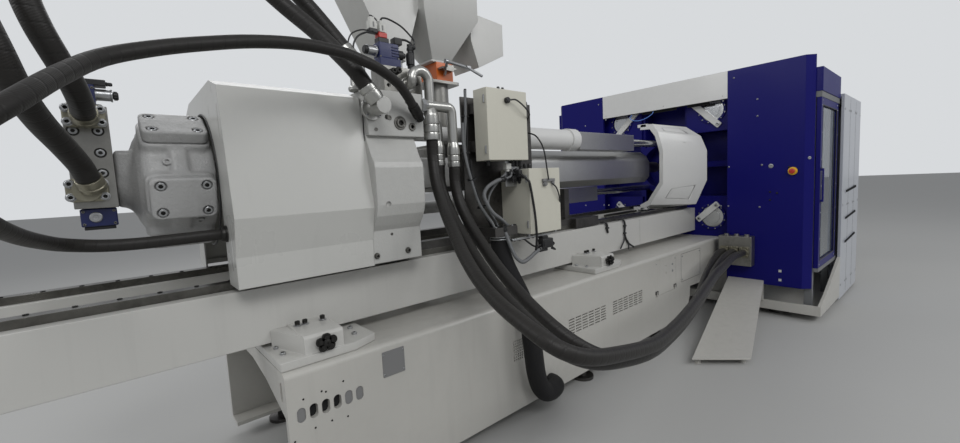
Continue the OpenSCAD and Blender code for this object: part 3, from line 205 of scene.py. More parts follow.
# paints: a sprayed coat with orange peel, faint handling marks, dust on ledges and chips on corners
paintColumns = ("colour", "rough", "coat", "peel", "grime", "edge", "chip", "shine")
paintSet = {
    "bedPaint": ((0.500, 0.490, 0.455), 0.36, 0.25, 0.05, 0.16, 0.004, 0.05, 0.5),
    "beamPaint": ((0.530, 0.525, 0.498), 0.33, 0.30, 0.04, 0.13, 0.006, 0.04, 0.5),
    "coverPaint": ((0.660, 0.660, 0.645), 0.30, 0.30, 0.04, 0.10, 0.004, 0.03, 0.5),
    "hoodPaint": ((0.530, 0.530, 0.505), 0.30, 0.30, 0.03, 0.08, 0.005, 0.02, 0.5),
    "castPaint": ((0.480, 0.480, 0.460), 0.38, 0.20, 0.30, 0.18, 0.008, 0.06, 0.5),
    "boxPaint": ((0.610, 0.595, 0.510), 0.42, 0.10, 0.16, 0.10, 0.003, 0.04, 0.5),
    "hopperPaint": ((0.520, 0.520, 0.500), 0.34, 0.20, 0.06, 0.12, 0.004, 0.04, 0.5),
    # the cover paint made darker and bluer: painted shade for the clamp's side panels
    "sidePaint": ((0.480, 0.500, 0.540), 0.32, 0.25, 0.04, 0.10, 0.004, 0.03, 0.5),
    "bluePaint": ((0.0055, 0.0050, 0.125), 0.36, 0.03, 0.03, 0.05, 0.004, 0.03, 0.15),
    "valveBlue": ((0.008, 0.015, 0.090), 0.35, 0.15, 0.12, 0.20, 0.002, 0.10, 0.5),
    "orangePaint": ((0.640, 0.130, 0.012), 0.35, 0.25, 0.10, 0.15, 0.003, 0.15, 0.5),
    "frameGrey": ((0.150, 0.155, 0.160), 0.45, 0.10, 0.10, 0.20, 0.004, 0.10, 0.5),
    "silverCast": ((0.440, 0.440, 0.435), 0.36, 0.10, 0.85, 0.35, 0.006, 0.10, 0.5),
    # innerShade is near black: painted shade behind openings and in gaps, and the dark of seams and joint lines
    "innerShade": ((0.012, 0.012, 0.013), 0.80, 0.00, 0.10, 0.20, 0.002, 0.00, 0.5),
}
# ramps (start, end, grey at the start) and shares that all paints have in common
paintLook = {
    "blotches": (0.42, 0.70), "specks": (0.40, 0.62, 0.35), "runs": (0.52, 0.72), "runShare": 0.7,
    "ledges": (0.70, 0.95), "dust": (0.35, 0.65, 0.2), "dustShare": 1.4, "chips": (0.52, 0.60), "chipShare": 4,
    "primer": (0.20, 0.19, 0.17), "dulled": 0.9, "coatRough": 0.12, "coarsePeel": 0.3,
}


def makePaint(name):
    s, look = dict(zip(paintColumns, paintSet[name])), paintLook
    mat, tree, bsdf = startMaterial(name)
    coords = objectCoords(tree)
    broad = cloud(tree, coords, 1.1, 5.0)
    fine = cloud(tree, coords, 23.0, 6.0, 0.65)
    runs = cloud(tree, objectCoords(tree, (9.0, 9.0, 0.7)), 1.6, 5.0, 0.6)
    soiled = times(tree, ramp(tree, broad, *look["blotches"]), ramp(tree, fine, *look["specks"]))
    soiled = sums(tree, "MAXIMUM", soiled, times(tree, ramp(tree, runs, *look["runs"]), look["runShare"]))
    ledge = times(tree, ramp(tree, upward(tree), *look["ledges"]), ramp(tree, fine, *look["dust"]))
    colour = blendColour(tree, times(tree, soiled, s["grime"]), s["colour"], scaled(s["colour"], 0.45))
    colour = blendColour(tree, times(tree, ledge, s["grime"] * look["dustShare"]), colour,
                         scaled(s["colour"], 0.62, 0.07))
    spots = ramp(tree, cloud(tree, coords, 42.0, 3.0), *look["chips"])
    worn = times(tree, edgeMask(tree, s["edge"] * 0.6), spots)
    colour = blendColour(tree, times(tree, worn, s["chip"] * look["chipShare"], clamp=True), colour, look["primer"])
    gloss = sums(tree, "ADD", spread(tree, broad, 0.16, s["rough"] - 0.08),
                 times(tree, soiled, s["grime"] * look["dulled"]))
    # a strong peel is a casting's rough skin, with larger and deeper grain
    grain, depth = (260.0, 0.0012) if s["peel"] < look["coarsePeel"] else (95.0, 0.003)
    feed(tree, bsdf, {
        "Base Color": colour, "Roughness": gloss, "Coat Weight": s["coat"], "Specular IOR Level": s["shine"],
        "Coat Roughness": look["coatRough"],
        "Normal": bumped(tree, s["peel"], depth, cloud(tree, coords, grain, 3.0), s["edge"])})
    return mat


# bare metals: grain runs along one axis, with oil or handling stains
metalColumns = ("colour", "dark", "rough", "grain", "stain", "bump", "edge")
metalSet = {
    "railSteel": ((0.17, 0.165, 0.15), (0.025, 0.024, 0.022), 0.28, (2, 60, 60), 0.75, 0.10, 0.003),
    "darkSteel": ((0.13, 0.125, 0.12), (0.02, 0.019, 0.018), 0.38, (25, 25, 25), 0.70, 0.15, 0.003),
    "chromeBar": ((0.62, 0.63, 0.64), (0.30, 0.29, 0.27), 0.10, (60, 3, 3), 0.18, 0.02, 0.003),
    "plainSteel": ((0.36, 0.355, 0.335), (0.10, 0.095, 0.08), 0.33, (30, 30, 30), 0.55, 0.10, 0.004),
    "zincYellow": ((0.36, 0.34, 0.265), (0.14, 0.135, 0.10), 0.34, (20, 20, 20), 0.65, 0.08, 0.003),
    "zincBright": ((0.50, 0.51, 0.52), (0.22, 0.22, 0.22), 0.30, (20, 20, 20), 0.40, 0.06, 0.002),
    "guardSteel": ((0.56, 0.56, 0.55), (0.30, 0.30, 0.29), 0.30, (1.5, 80, 80), 0.25, 0.05, 0.002),
    "barrelSteel": ((0.27, 0.25, 0.235), (0.09, 0.075, 0.065), 0.40, (60, 4, 4), 0.60, 0.08, 0.003),
    "bandSteel": ((0.44, 0.42, 0.38), (0.20, 0.16, 0.11), 0.34, (40, 6, 6), 0.50, 0.06, 0.002),
    "boltSteel": ((0.22, 0.215, 0.20), (0.05, 0.048, 0.042), 0.36, (30, 30, 30), 0.60, 0.08, 0.0015),
    "blackOxide": ((0.045, 0.044, 0.042), (0.015, 0.015, 0.014), 0.42, (30, 30, 30), 0.50, 0.08, 0.0015),
    "pipeSteel": ((0.50, 0.50, 0.48), (0.22, 0.21, 0.19), 0.30, (20, 20, 20), 0.35, 0.04, 0.002),
}
metalLook = {"patches": (0.38, 0.66), "spots": (0.30, 0.62, 0.45), "rubbed": 0.45, "rubbedColour": 1.35,
             "metallic": 0.92}


def makeMetal(name):
    s, look = dict(zip(metalColumns, metalSet[name])), metalLook
    mat, tree, bsdf = startMaterial(name)
    coords = objectCoords(tree)
    grain = cloud(tree, objectCoords(tree, s["grain"]), 12.0, 5.0, 0.7)
    patches = ramp(tree, cloud(tree, coords, 4.5, 6.0, 0.6), *look["patches"])
    spots = ramp(tree, cloud(tree, coords, 38.0, 4.0, 0.6), *look["spots"])
    stained = times(tree, times(tree, patches, spots), s["stain"])
    bright = blendColour(tree, times(tree, grain, 0.35), s["colour"], scaled(s["colour"], 0.70))
    colour = blendColour(tree, stained, bright, s["dark"])
    colour = blendColour(tree, times(tree, edgeMask(tree, s["edge"] * 0.6), look["rubbed"]), colour,
                         scaled(s["colour"], look["rubbedColour"]))
    gloss = sums(tree, "ADD", spread(tree, grain, 0.20, s["rough"] - 0.10), times(tree, stained, 0.15))
    feed(tree, bsdf, {"Base Color": colour, "Metallic": look["metallic"], "Roughness": gloss,
                      "Normal": bumped(tree, s["bump"], 0.001, grain, s["edge"])})
    return mat


# plastics and cable jackets: colour, roughness, bump
plasticSet = {
    "blackPlastic": ((0.014, 0.014, 0.015), 0.38, 0.10),
    "greyPlastic": ((0.20, 0.20, 0.20), 0.42, 0.10),
    "paleSwitch": ((0.55, 0.55, 0.52), 0.40, 0.08),
    "yellowPlastic": ((0.75, 0.42, 0.012), 0.32, 0.06),
    "redPlastic": ((0.48, 0.022, 0.012), 0.26, 0.05),
    "airBlue": ((0.10, 0.22, 0.62), 0.30, 0.05),
    "cableBlack": ((0.013, 0.013, 0.014), 0.45, 0.15),
    "cableGrey": ((0.16, 0.165, 0.17), 0.50, 0.12),
}


def makePlastic(name):
    base, rough, bump = plasticSet[name]
    mat, tree, bsdf = startMaterial(name)
    coords = objectCoords(tree)
    dusty = cloud(tree, coords, 7.0, 5.0, 0.6)
    grain = cloud(tree, coords, 420.0, 2.0)
    colour = blendColour(tree, times(tree, ramp(tree, dusty, 0.45, 0.75), 0.35), base, scaled(base, 0.75, 0.035))
    feed(tree, bsdf, {"Base Color": colour, "Roughness": spread(tree, dusty, 0.22, rough - 0.08),
                      "Normal": bumped(tree, bump, 0.0006, grain, 0.0015)})
    return mat


def alongTube(tree):
    # the tube's own map: u once round it, v in metres along it
    return put(tree, "SeparateXYZ", {0: put(tree, "UVMap", uv_map="along").outputs[0]}).outputs[0:2]


def strands(tree, u, v, perMetre, perTurn):
    return sums(tree, "SINE", times(tree, spread(tree, v, perMetre, times(tree, u, perTurn)), 2 * math.pi))


def makeHoseRubber():
    # cloth-wrapped rubber: narrow spiral bands with fine cords between them
    mat, tree, bsdf = startMaterial("hoseRubber")
    u, v = alongTube(tree)
    wrap = sums(tree, "PINGPONG", spread(tree, v, 26.0, u), 0.5)
    cords = strands(tree, u, v, -160.0, 9.0)
    coords = objectCoords(tree)
    worn = cloud(tree, coords, 5.0, 6.0, 0.6)
    rub = cloud(tree, coords, 60.0, 4.0, 0.6)
    dusty = times(tree, ramp(tree, upward(tree), 0.35, 0.95), ramp(tree, worn, 0.35, 0.70, 0.1))
    colour = blendColour(tree, ramp(tree, wrap, 0.02, 0.10, 0.4, 0.0), (0.0165, 0.0150, 0.0135),
                         (0.008, 0.0075, 0.007))
    colour = blendColour(tree, times(tree, dusty, 0.25), colour, (0.040, 0.037, 0.033))
    colour = blendColour(tree, times(tree, ramp(tree, rub, 0.60, 0.75), 0.20), colour, (0.036, 0.034, 0.031))
    height = sums(tree, "ADD", ramp(tree, wrap, 0.0, 0.12), times(tree, cords, 0.16))
    feed(tree, bsdf, {"Base Color": colour, "Roughness": spread(tree, worn, 0.22, 0.36), "Sheen Weight": 0.02,
                      "Specular IOR Level": 0.35, "Normal": bumped(tree, 0.45, 0.0012, height)})
    return mat


def makeSleeveFabric():
    # plaited polyester monofilament over a bundle of cables
    mat, tree, bsdf = startMaterial("sleeveFabric")
    u, v = alongTube(tree)
    weave = sums(tree, "MAXIMUM", strands(tree, u, v, 150.0, 22.0), strands(tree, u, v, -150.0, 22.0))
    worn = cloud(tree, objectCoords(tree), 6.0, 5.0, 0.6)
    colour = blendColour(tree, ramp(tree, weave, 0.1, 0.8), (0.004, 0.004, 0.005), (0.014, 0.0135, 0.014))
    colour = blendColour(tree, times(tree, ramp(tree, worn, 0.5, 0.8), 0.2), colour, (0.030, 0.029, 0.028))
    feed(tree, bsdf, {"Base Color": colour, "Roughness": 0.62, "Sheen Weight": 0.02, "Specular IOR Level": 0.25,
                      "Normal": bumped(tree, 0.6, 0.0015, weave)})
    return mat


def makeGlass():
    mat, tree, bsdf = startMaterial("safetyGlass")
    smear = cloud(tree, objectCoords(tree, (3, 3, 0.6)), 2.2, 5.0, 0.6)
    colour = blendColour(tree, ramp(tree, smear, 0.4, 0.8, 0.0, 0.5), (0.42, 0.48, 0.55), (0.55, 0.60, 0.64))
    feed(tree, bsdf, {"Base Color": colour, "Roughness": spread(tree, ramp(tree, smear, 0.45, 0.75), 0.08, 0.02),
                      "Transmission Weight": 0.90, "IOR": 1.46})
    return mat


finishes = {"hoseRubber": makeHoseRubber(), "sleeveFabric": makeSleeveFabric(), "safetyGlass": makeGlass()}
for finishSet, make in ((paintSet, makePaint), (metalSet, makeMetal), (plasticSet, makePlastic)):
    finishes.update({finishName: make(finishName) for finishName in finishSet})
print("stage: finishes made,", len(finishes))


# finish of every carried-over solid, and of the softened copies
finishNodes = {
    "bedPaint": "bed clamp_base bed_door",
    "beamPaint": "support_brackets slide_beams traverse_cylinders",
    "bluePaint": "fixed_platen rear_panels gate_near gate_far moving_platen",
    "coverPaint": "clamp_covers nozzle_guard carriage_cylinders",
    # the side panels take the darker copy of the cover paint, painted shade
    "sidePaint": "side_panels",
    "hopperPaint": "hopper hopper_lid",
    "boxPaint": "upper_box upper_door lower_box lower_door",
    "castPaint": "injection_housing", "hoodPaint": "drive_hood", "frameGrey": "clamp_frame",
    "orangePaint": "gate_block", "valveBlue": "top_valves pilot_valve", "silverCast": "motor_casing",
    "railSteel": "rails", "darkSteel": "base_fixings carriage_frame",
    "chromeBar": "tie_bars contact_rods traverse_rods",
    "plainSteel": "connection_block ejector feed_throat slide_gate port_block drive_yoke screw",
    "zincYellow": "connection_flanges split_flanges", "pipeSteel": "pressure_pipes",
    "barrelSteel": "barrel", "bandSteel": "heater_bands", "guardSteel": "barrel_guard",
    "boltSteel": "carriage_screws motor_screws",
    "yellowPlastic": "estop_housing", "redPlastic": "estop_button", "safetyGlass": "window_near window_far",
}
nodeFinish = {node: finish for finish, names in finishNodes.items() for node in names.split()}
for nodeName, finishName in nodeFinish.items():
    for materialSlot in nodes[nodeName].material_slots:
        materialSlot.material = finishes[finishName]
print("stage: solids dressed,", len(nodeFinish))


# mesh helpers: places are vectors in metres, every other length is in millimetres
def row(x, y, z):
    # machine frame, millimetres from the floor centre
    return Vector((x / 1000, y / 1000, z / 1000))


carriageZero = (-2750, 0, 1500)


def car(x, y, z):
    # carriage frame, millimetres from the injection axis at the carriage's rear plane
    return row(*(a + b for a, b in zip((x, y, z), carriageZero)))


def facing(axis, place):
    # matrix with local z along the named axis or vector, at that place
    ways = {"x": (1, 0, 0), "y": (0, 1, 0), "z": (0, 0, 1), "-x": (-1, 0, 0), "-y": (0, -1, 0), "-z": (0, 0, -1)}
    way = Vector(ways[axis] if isinstance(axis, str) else axis)
    return Matrix.Translation(place) @ way.to_track_quat("Z", "Y").to_matrix().to_4x4()


def shifted(matrix, x=0, y=0, z=0):
    return matrix @ Matrix.Translation((x / 1000, y / 1000, z / 1000))


def grid(first, second):
    return [(a, b) for a in first for b in second]


def circle(count, radius=1.0, start=0.0):
    # evenly spaced points round the origin, from the start angle in degrees
    angles = [math.radians(start + 360 * k / count) for k in range(count)]
    return [(radius * math.cos(a), radius * math.sin(a)) for a in angles]


def toMesh(name, bm):
    bmesh.ops.recalc_face_normals(bm, faces=bm.faces)
    mesh = bpy.data.meshes.new(name)
    bm.to_mesh(mesh)
    bm.free()
    return mesh


def pourInto(bm, part):
    # adds one bmesh to another and frees it
    mesh = bpy.data.meshes.new("part")
    part.to_mesh(mesh)
    part.free()
    bm.from_mesh(mesh)
    bpy.data.meshes.remove(mesh)


def finishPiece(name, mesh, body, finish, slot=None, smooth=30):
    # finish: one name, or a list of names for the mesh's material numbers
    obj = addToScene(name, mesh)
    for one in [finish] if isinstance(finish, str) else finish:
        mesh.materials.append(finishes[one])
    mesh.shade_smooth()
    mesh.set_sharp_from_angle(angle=math.radians(smooth))
    level = obj.modifiers.new("level", "WEIGHTED_NORMAL")
    level.keep_sharp = True
    if body:
        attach(obj, body)
    return obj


def pieceFrom(name, bm, body, finish, slot):
    return finishPiece(name, toMesh(name, bm), body, finish, slot, 35)


def standIn(node, bm, finish, smooth=30):
    # the detailed mesh takes the plain solid's place on the same body
    name = node + "_fine"
    obj = finishPiece(name, toMesh(name, bm), nodes[node]["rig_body"], finish, smooth=smooth)
    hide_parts(node)


def addBlock(bm, low, high, edge=2, number=0, segments=1):
    # a block with broken edges between two corners
    before = set(bm.faces)
    verts = bmesh.ops.create_cube(bm, size=1.0)["verts"]
    for vert in verts:
        vert.co = Vector([low[i] + (vert.co[i] + 0.5) * (high[i] - low[i]) for i in range(3)])
    # thin blocks get a narrower edge
    offset = min(edge / 1000, 0.45 * min(high[i] - low[i] for i in range(3)))
    if edge > 0:
        bmesh.ops.bevel(bm, geom=list({e for v in verts for e in v.link_edges}), offset=offset, segments=segments,
                        profile=0.5, affect="EDGES")
    for face in bm.faces:
        if face not in before:
            face.material_index = number


def joinRings(bm, rings, number, cap=True):
    # skin over rings of one size or single points, in the order of the faces made
    made = []
    for a, b in zip(rings, rings[1:]):
        for k in range(max(len(a), len(b))):
            corners = [a[k % len(a)], a[(k + 1) % len(a)], b[(k + 1) % len(b)], b[k % len(b)]]
            made.append(bm.faces.new(list(dict.fromkeys(corners))))
    if cap:
        bm.faces.new(list(reversed(rings[0]))).material_index = number
        bm.faces.new(rings[-1]).material_index = number
    for face in made:
        face.material_index = number
    return made


def addTurned(bm, matrix, profile, sides=24, number=0, closed=True):
    # (radius, height) pairs turned about local z; closed ends run flat to the axis unless the profile does
    profile = list(profile)
    if closed:
        profile = [(0, profile[0][1])] * (profile[0][0] > 0) + profile + [(0, profile[-1][1])] * (profile[-1][0] > 0)
    rings = []
    for radius, height in profile:
        spots = circle(sides, radius / 1000) if radius > 0 else [(0, 0)]
        rings.append([bm.verts.new(matrix @ Vector((x, y, height / 1000))) for x, y in spots])
    joinRings(bm, rings, number, cap=False)


def sized(profile, radius, height):
    # profile drawn for radius 1 and height 1, brought to size
    return [(radius * r, height * h) for r, h in profile]


def addRod(bm, a, b, radius, sides=20, number=0, edge=1):
    # round bar between two places with broken end edges
    length = (b - a).length * 1000
    profile = [(radius - edge, 0), (radius, edge), (radius, length - edge), (radius - edge, length)]
    addTurned(bm, facing(b - a, a), profile, sides, number)


def addSocketScrew(bm, place, axis, radius, height, number=0, inner=1):
    # cap screw: head with a washer-like rim and a round recess
    m = facing(axis, place)
    head = ((0, 0), (0.97, 0), (1, 0.08), (1, 0.88), (0.90, 1), (0.5824, 1), (0.52, 0.96))
    recess = ((0.52, 0.96), (0.5096, 0.35), (0, 0.35))
    addTurned(bm, m, sized(head, radius, height), 20, number, closed=False)
    addTurned(bm, m, sized(recess, radius, height), 20, inner, closed=False)


def addButtonScrew(bm, place, axis, radius, number=0, inner=1):
    # domed head with a hexagon socket
    m = facing(axis, place)
    head = ((1, 0), (1, 0.12), (0.86, 0.42), (0.50, 0.56), (0.40, 0.56))
    socket = ((0.40, 0.56), (0.38, 0.15), (0, 0.15))
    addTurned(bm, m, sized(head, radius, radius), 16, number, closed=False)
    addTurned(bm, m, sized(socket, radius, radius), 6, inner, closed=False)


def addHexBolt(bm, place, axis, across, height, number):
    m, washer, corner = facing(axis, place), 3, across / 2 / math.cos(math.pi / 6)
    rim = [(across * 1.02, 0), (across * 1.04, 0.6), (across * 1.04, 2.4), (across * 0.98, washer)]
    addTurned(bm, m, rim, 24, number)
    head = ((1, 0), (1, 0.82), (0.86, 1), (0, 1))
    addTurned(bm, shifted(m, z=washer), sized(head, corner, height), 6, number, closed=False)


def addGland(bm, place, axis, radius, length, number=0):
    # cable gland: hexagon, thread and domed nut
    m = facing(axis, place)
    base = ((0, 0), (1.18, 0), (1.18, 0.25), (1, 0.30))
    nut = ((0, 0.2), (0.96, 0.2), (0.96, 0.42), (1.06, 0.45), (1.06, 0.70), (0.90, 0.90), (0.66, 1), (0, 1))
    addTurned(bm, m, sized(base, radius, length), 6, number, closed=False)
    addTurned(bm, m, sized(nut, radius, length), 12, number, closed=False)


def smoothLine(points, perSpan=6):
    # Catmull-Rom curve through the points, with a mirrored point past each end
    pts = [Vector(p) for p in points]
    pts = [pts[0] * 2 - pts[1]] + pts + [pts[-1] * 2 - pts[-2]]
    line = []
    for i in range(1, len(pts) - 2):
        p0, p1, p2, p3 = pts[i - 1:i + 3]
        for k in range(perSpan):
            t = k / perSpan
            line.append(0.5 * ((2 * p1) + (p2 - p0) * t + (2 * p0 - 5 * p1 + 4 * p2 - p3) * t * t
                               + (3 * p1 - p0 - 3 * p2 + p3) * t ** 3))
    line.append(pts[-2].copy())
    return line


def lineLength(line):
    return sum((b - a).length for a, b in zip(line, line[1:]))


def sweep(bm, line, radii, sides, number, cap=True):
    # a ring carried along the line without twist, with a radius for each point
    across = (line[1] - line[0]).normalized().orthogonal().normalized()
    rings = []
    for i, (point, radius) in enumerate(zip(line, radii)):
        ahead = (line[min(i + 1, len(line) - 1)] - line[max(i - 1, 0)]).normalized()
        across = (across - ahead * across.dot(ahead)).normalized()
        other = ahead.cross(across)
        rings.append([bm.verts.new(point + radius / 1000 * (x * across + y * other)) for x, y in circle(sides)])
    return joinRings(bm, rings, number, cap)


def addTube(bm, line, radius, sides=14, number=0, cap=True):
    return sweep(bm, line, [radius] * len(line), sides, number, cap)


def addCable(bm, place, points, radius, number=0, sides=8, perSpan=5):
    # place: the frame of the points, row or car
    addTube(bm, smoothLine([place(*p) for p in points], perSpan), radius, sides, number)


conduitLook = {"pitch": 7, "sides": 14, "dip": 0.13}


def addConduit(bm, place, points, radius, number):
    # ribbed flexible conduit: short rings that swell and narrow along the route
    look = conduitLook
    rough = smoothLine([place(*p) for p in points], 10)
    total = lineLength(rough)
    count = max(4, int(total / (look["pitch"] / 1000)) * 2)
    line, run, j = [], 0.0, 0
    for i in range(count + 1):
        goal = total * i / count
        while j < len(rough) - 2 and run + (rough[j + 1] - rough[j]).length < goal:
            run += (rough[j + 1] - rough[j]).length
            j += 1
        part = rough[j + 1] - rough[j]
        line.append(rough[j] + part * min(1.0, (goal - run) / max(part.length, 1e-9)))
    radii = [radius * (1.0 if i % 2 else 1.0 - look["dip"]) for i in range(len(line))]
    sweep(bm, line, radii, look["sides"], number)


cornerSteps = 5


def addRoundPlate(bm, matrix, length, width, height, corner, edge, number=0, edgeSteps=3):
    # plate on local z with round corners and rounded top edges
    def loop(inset, z):
        r = max(corner - inset, 0.5)
        x, y = length / 2 - inset - r, width / 2 - inset - r
        return [bm.verts.new(matrix @ row(cx * x + r * math.cos(a), cy * y + r * math.sin(a), z))
                for cx, cy, start in ((1, 1, 0), (-1, 1, 90), (-1, -1, 180), (1, -1, 270))
                for a in (math.radians(start + 90 * k / cornerSteps) for k in range(cornerSteps + 1))]
    base = loop(0, 0)
    turns = [math.radians(90 * k / edgeSteps) for k in range(edgeSteps + 1)]
    joinRings(bm, [base] + [loop(edge * (1 - math.cos(a)), height - edge * (1 - math.sin(a))) for a in turns], number)


def cleanCopy(node):
    # the CAD node's solid as a welded mesh with whole flat faces
    bm = bmesh.new()
    bm.from_mesh(nodes[node].data)
    bmesh.ops.remove_doubles(bm, verts=bm.verts, dist=2e-5)
    bmesh.ops.dissolve_limit(bm, angle_limit=math.radians(0.6), verts=bm.verts, edges=bm.edges,
                             use_dissolve_boundaries=False)
    return bm


def roundEdges(bm, width, longer, angle, segments):
    # rounds the edges longer than that, where two faces meet at more than the angle in degrees
    edges = [e for e in bm.edges if len(e.link_faces) == 2 and e.calc_length() > longer / 1000
             and e.calc_face_angle(0.0) > math.radians(angle)]
    bmesh.ops.bevel(bm, geom=edges, offset=width / 1000, offset_type="OFFSET", segments=segments, profile=0.5,
                    affect="EDGES", clamp_overlap=True)


def withWork(bm, build):
    # runs modifiers on a passing copy and gives the result back as a new bmesh
    work = []

    def lay(one):
        work.append(addToScene("work", toMesh("work", one)))
        return work[-1]

    main = lay(bm)
    build(main, lay)
    bpy.context.view_layer.update()
    made = bmesh.new()
    made.from_object(main, bpy.context.evaluated_depsgraph_get())
    for obj in work:
        mesh = obj.data
        bpy.data.objects.remove(obj)
        bpy.data.meshes.remove(mesh)
    return made


def carve(bm, cutter):
    def build(main, lay):
        tool = main.modifiers.new("cut", "BOOLEAN")
        tool.object = lay(cutter)
        tool.operation = "DIFFERENCE"
        tool.solver = "EXACT"
    return withWork(bm, build)


def castShape(bm, voxel, rounds):
    # one skin over all the solids, with the inner corners filled like a casting's fillets
    def build(main, lay):
        skin = main.modifiers.new("skin", "REMESH")
        skin.mode = "VOXEL"
        skin.voxel_size = voxel / 1000
        ease = main.modifiers.new("ease", "SMOOTH")
        ease.factor = 0.5
        ease.iterations = rounds
    return withWork(bm, build)


# long edges rounded as sheet metal and castings have them: width, shortest edge rounded, segments
softSet = {
    "slide_beams": (6, 100, 3), "support_brackets": (4, 30, 2), "bed_door": (2, 50, 2),
    "upper_box": (2.5, 50, 2), "lower_box": (2.5, 50, 2), "nozzle_guard": (3.5, 40, 2),
    "rear_panels": (3, 40, 2), "fixed_platen": (12, 40, 2), "side_panels": (3, 40, 2), "clamp_covers": (3, 40, 2),
    "gate_near": (3, 40, 2), "gate_far": (3, 40, 2), "moving_platen": (8, 40, 2), "clamp_base": (4, 40, 2),
    "clamp_frame": (3, 40, 2), "hopper": (4, 30, 2), "hopper_lid": (4, 30, 2), "feed_throat": (4, 30, 2),
    "gate_block": (3, 30, 2), "carriage_frame": (3, 30, 2), "connection_block": (4, 30, 2),
    "carriage_cylinders": (3, 30, 2), "traverse_cylinders": (3, 30, 2),
    "barrel_guard": (3, 20, 2), "barrel": (2, 20, 2), "heater_bands": (2, 20, 2),
}
softAngle = 35


def softenEdges(node):
    width, longer, segments = softSet[node]
    bm = cleanCopy(node)
    roundEdges(bm, width, longer, softAngle, segments)
    obj = finishPiece(node + "_soft", toMesh(node + "Soft", bm), nodes[node]["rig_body"], nodeFinish[node])
    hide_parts(node)


for nodeName in softSet:
    softenEdges(nodeName)
print("stage: edges softened,", len(softSet))


# hoses: route points in carriage millimetres, bodies that hold the ends, diameter in metres
hoseSet = {
    "hose_upper": dict(diameter=0.070, bodies=("drive", "carriage"), points=[
        (-1220, -262, 242), (-1222, -330, 265), (-1235, -400, 310), (-1260, -455, 370), (-1290, -490, 450),
        (-1310, -495, 540), (-1310, -475, 640), (-1280, -440, 740), (-1220, -405, 830), (-1130, -370, 895),
        (-1010, -345, 925), (-880, -330, 915), (-750, -325, 870), (-640, -335, 800), (-540, -380, 700),
        (-455, -450, 600), (-390, -520, 500), (-340, -560, 425), (-300, -565, 370)]),
    "hose_lower": dict(diameter=0.070, bodies=("drive", "carriage"), points=[
        (-1231, -263, 14), (-1246, -298, 57), (-1278, -382, 115), (-1313, -477, 173), (-1340, -580, 240),
        (-1365, -630, 340), (-1395, -625, 450), (-1430, -560, 570), (-1430, -470, 690), (-1395, -390, 800),
        (-1330, -330, 900), (-1240, -285, 985), (-1130, -260, 1040), (-1000, -245, 1065), (-870, -240, 1055),
        (-740, -245, 1010), (-620, -260, 940), (-510, -285, 850), (-420, -315, 750), (-350, -345, 655),
        (-300, -370, 580)]),
    "hose_drain": dict(diameter=0.045, bodies=("carriage",), points=[
        (-45, -530, 312), (-85, -550, 350), (-150, -580, 395), (-261, -628, 430), (-350, -648, 450),
        (-448, -661, 464), (-600, -662, 468), (-763, -660, 449), (-921, -697, 404), (-1051, -735, 358),
        (-1163, -800, 300), (-1240, -920, 220), (-1300, -1040, 140), (-1370, -1110, 60), (-1410, -1070, -10),
        (-1410, -960, -60), (-1395, -800, -110), (-1375, -640, -150), (-1350, -480, -180), (-1310, -360, -205),
        (-1224, -300, -225), (-1120, -290, -232), (-1000, -315, -229), (-900, -330, -226), (-861, -330, -226)]),
    "hose_supply_a": dict(diameter=0.060, bodies=("carriage", "base"), points=[
        (111, -450, 161), (111, -450, 60), (95, -490, -60), (70, -580, -190), (40, -680, -290),
        (0, -800, -390), (-35, -942, -485), (-80, -1110, -545), (-110, -1280, -590), (-95, -1400, -640),
        (0, -1445, -690), (180, -1455, -735), (500, -1440, -795), (820, -1390, -815), (1140, -1328, -820),
        (1560, -1240, -815), (1975, -1153, -805), (2393, -1070, -820), (2773, -990, -835), (3093, -925, -860),
        (3273, -895, -880), (3393, -895, -880)]),
    "hose_supply_b": dict(diameter=0.060, bodies=("carriage", "base"), points=[
        (190, -395, 31), (190, -395, -60), (185, -440, -160), (170, -530, -265), (140, -650, -360),
        (100, -790, -450), (60, -940, -530), (30, -1090, -600), (20, -1230, -665), (50, -1330, -725),
        (150, -1385, -775), (330, -1400, -820), (560, -1390, -862), (820, -1345, -890), (1140, -1285, -905),
        (1560, -1200, -900), (1975, -1110, -885), (2393, -1000, -875), (2773, -905, -880), (3093, -835, -880),
        (3273, -807, -880), (3393, -807, -880)]),
    "hose_supply_c": dict(diameter=0.060, bodies=("carriage", "base"), points=[
        (245, -455, 20), (245, -455, -70), (245, -490, -180), (240, -570, -290), (225, -680, -390),
        (205, -800, -480), (190, -930, -565), (185, -1060, -645), (200, -1180, -720), (260, -1265, -790),
        (370, -1310, -850), (560, -1320, -907), (820, -1290, -950), (1140, -1235, -970), (1560, -1150, -970),
        (1975, -1050, -955), (2393, -930, -930), (2773, -825, -925), (3093, -750, -900), (3273, -719, -880),
        (3393, -719, -880)]),
    "energy_sleeve": dict(diameter=0.110, bodies=("carriage", "base"), finish="sleeveFabric", slot="sleeve_fabric",
                          points=[
        (520, -500, -385), (520, -500, -455), (520, -530, -545), (525, -580, -635), (532, -640, -735),
        (540, -680, -845), (548, -695, -965), (556, -700, -1085), (570, -700, -1185), (600, -698, -1270),
        (655, -690, -1330), (725, -680, -1350), (785, -660, -1352), (805, -630, -1352), (805, -600, -1352)]),
}
hoseSides = 20


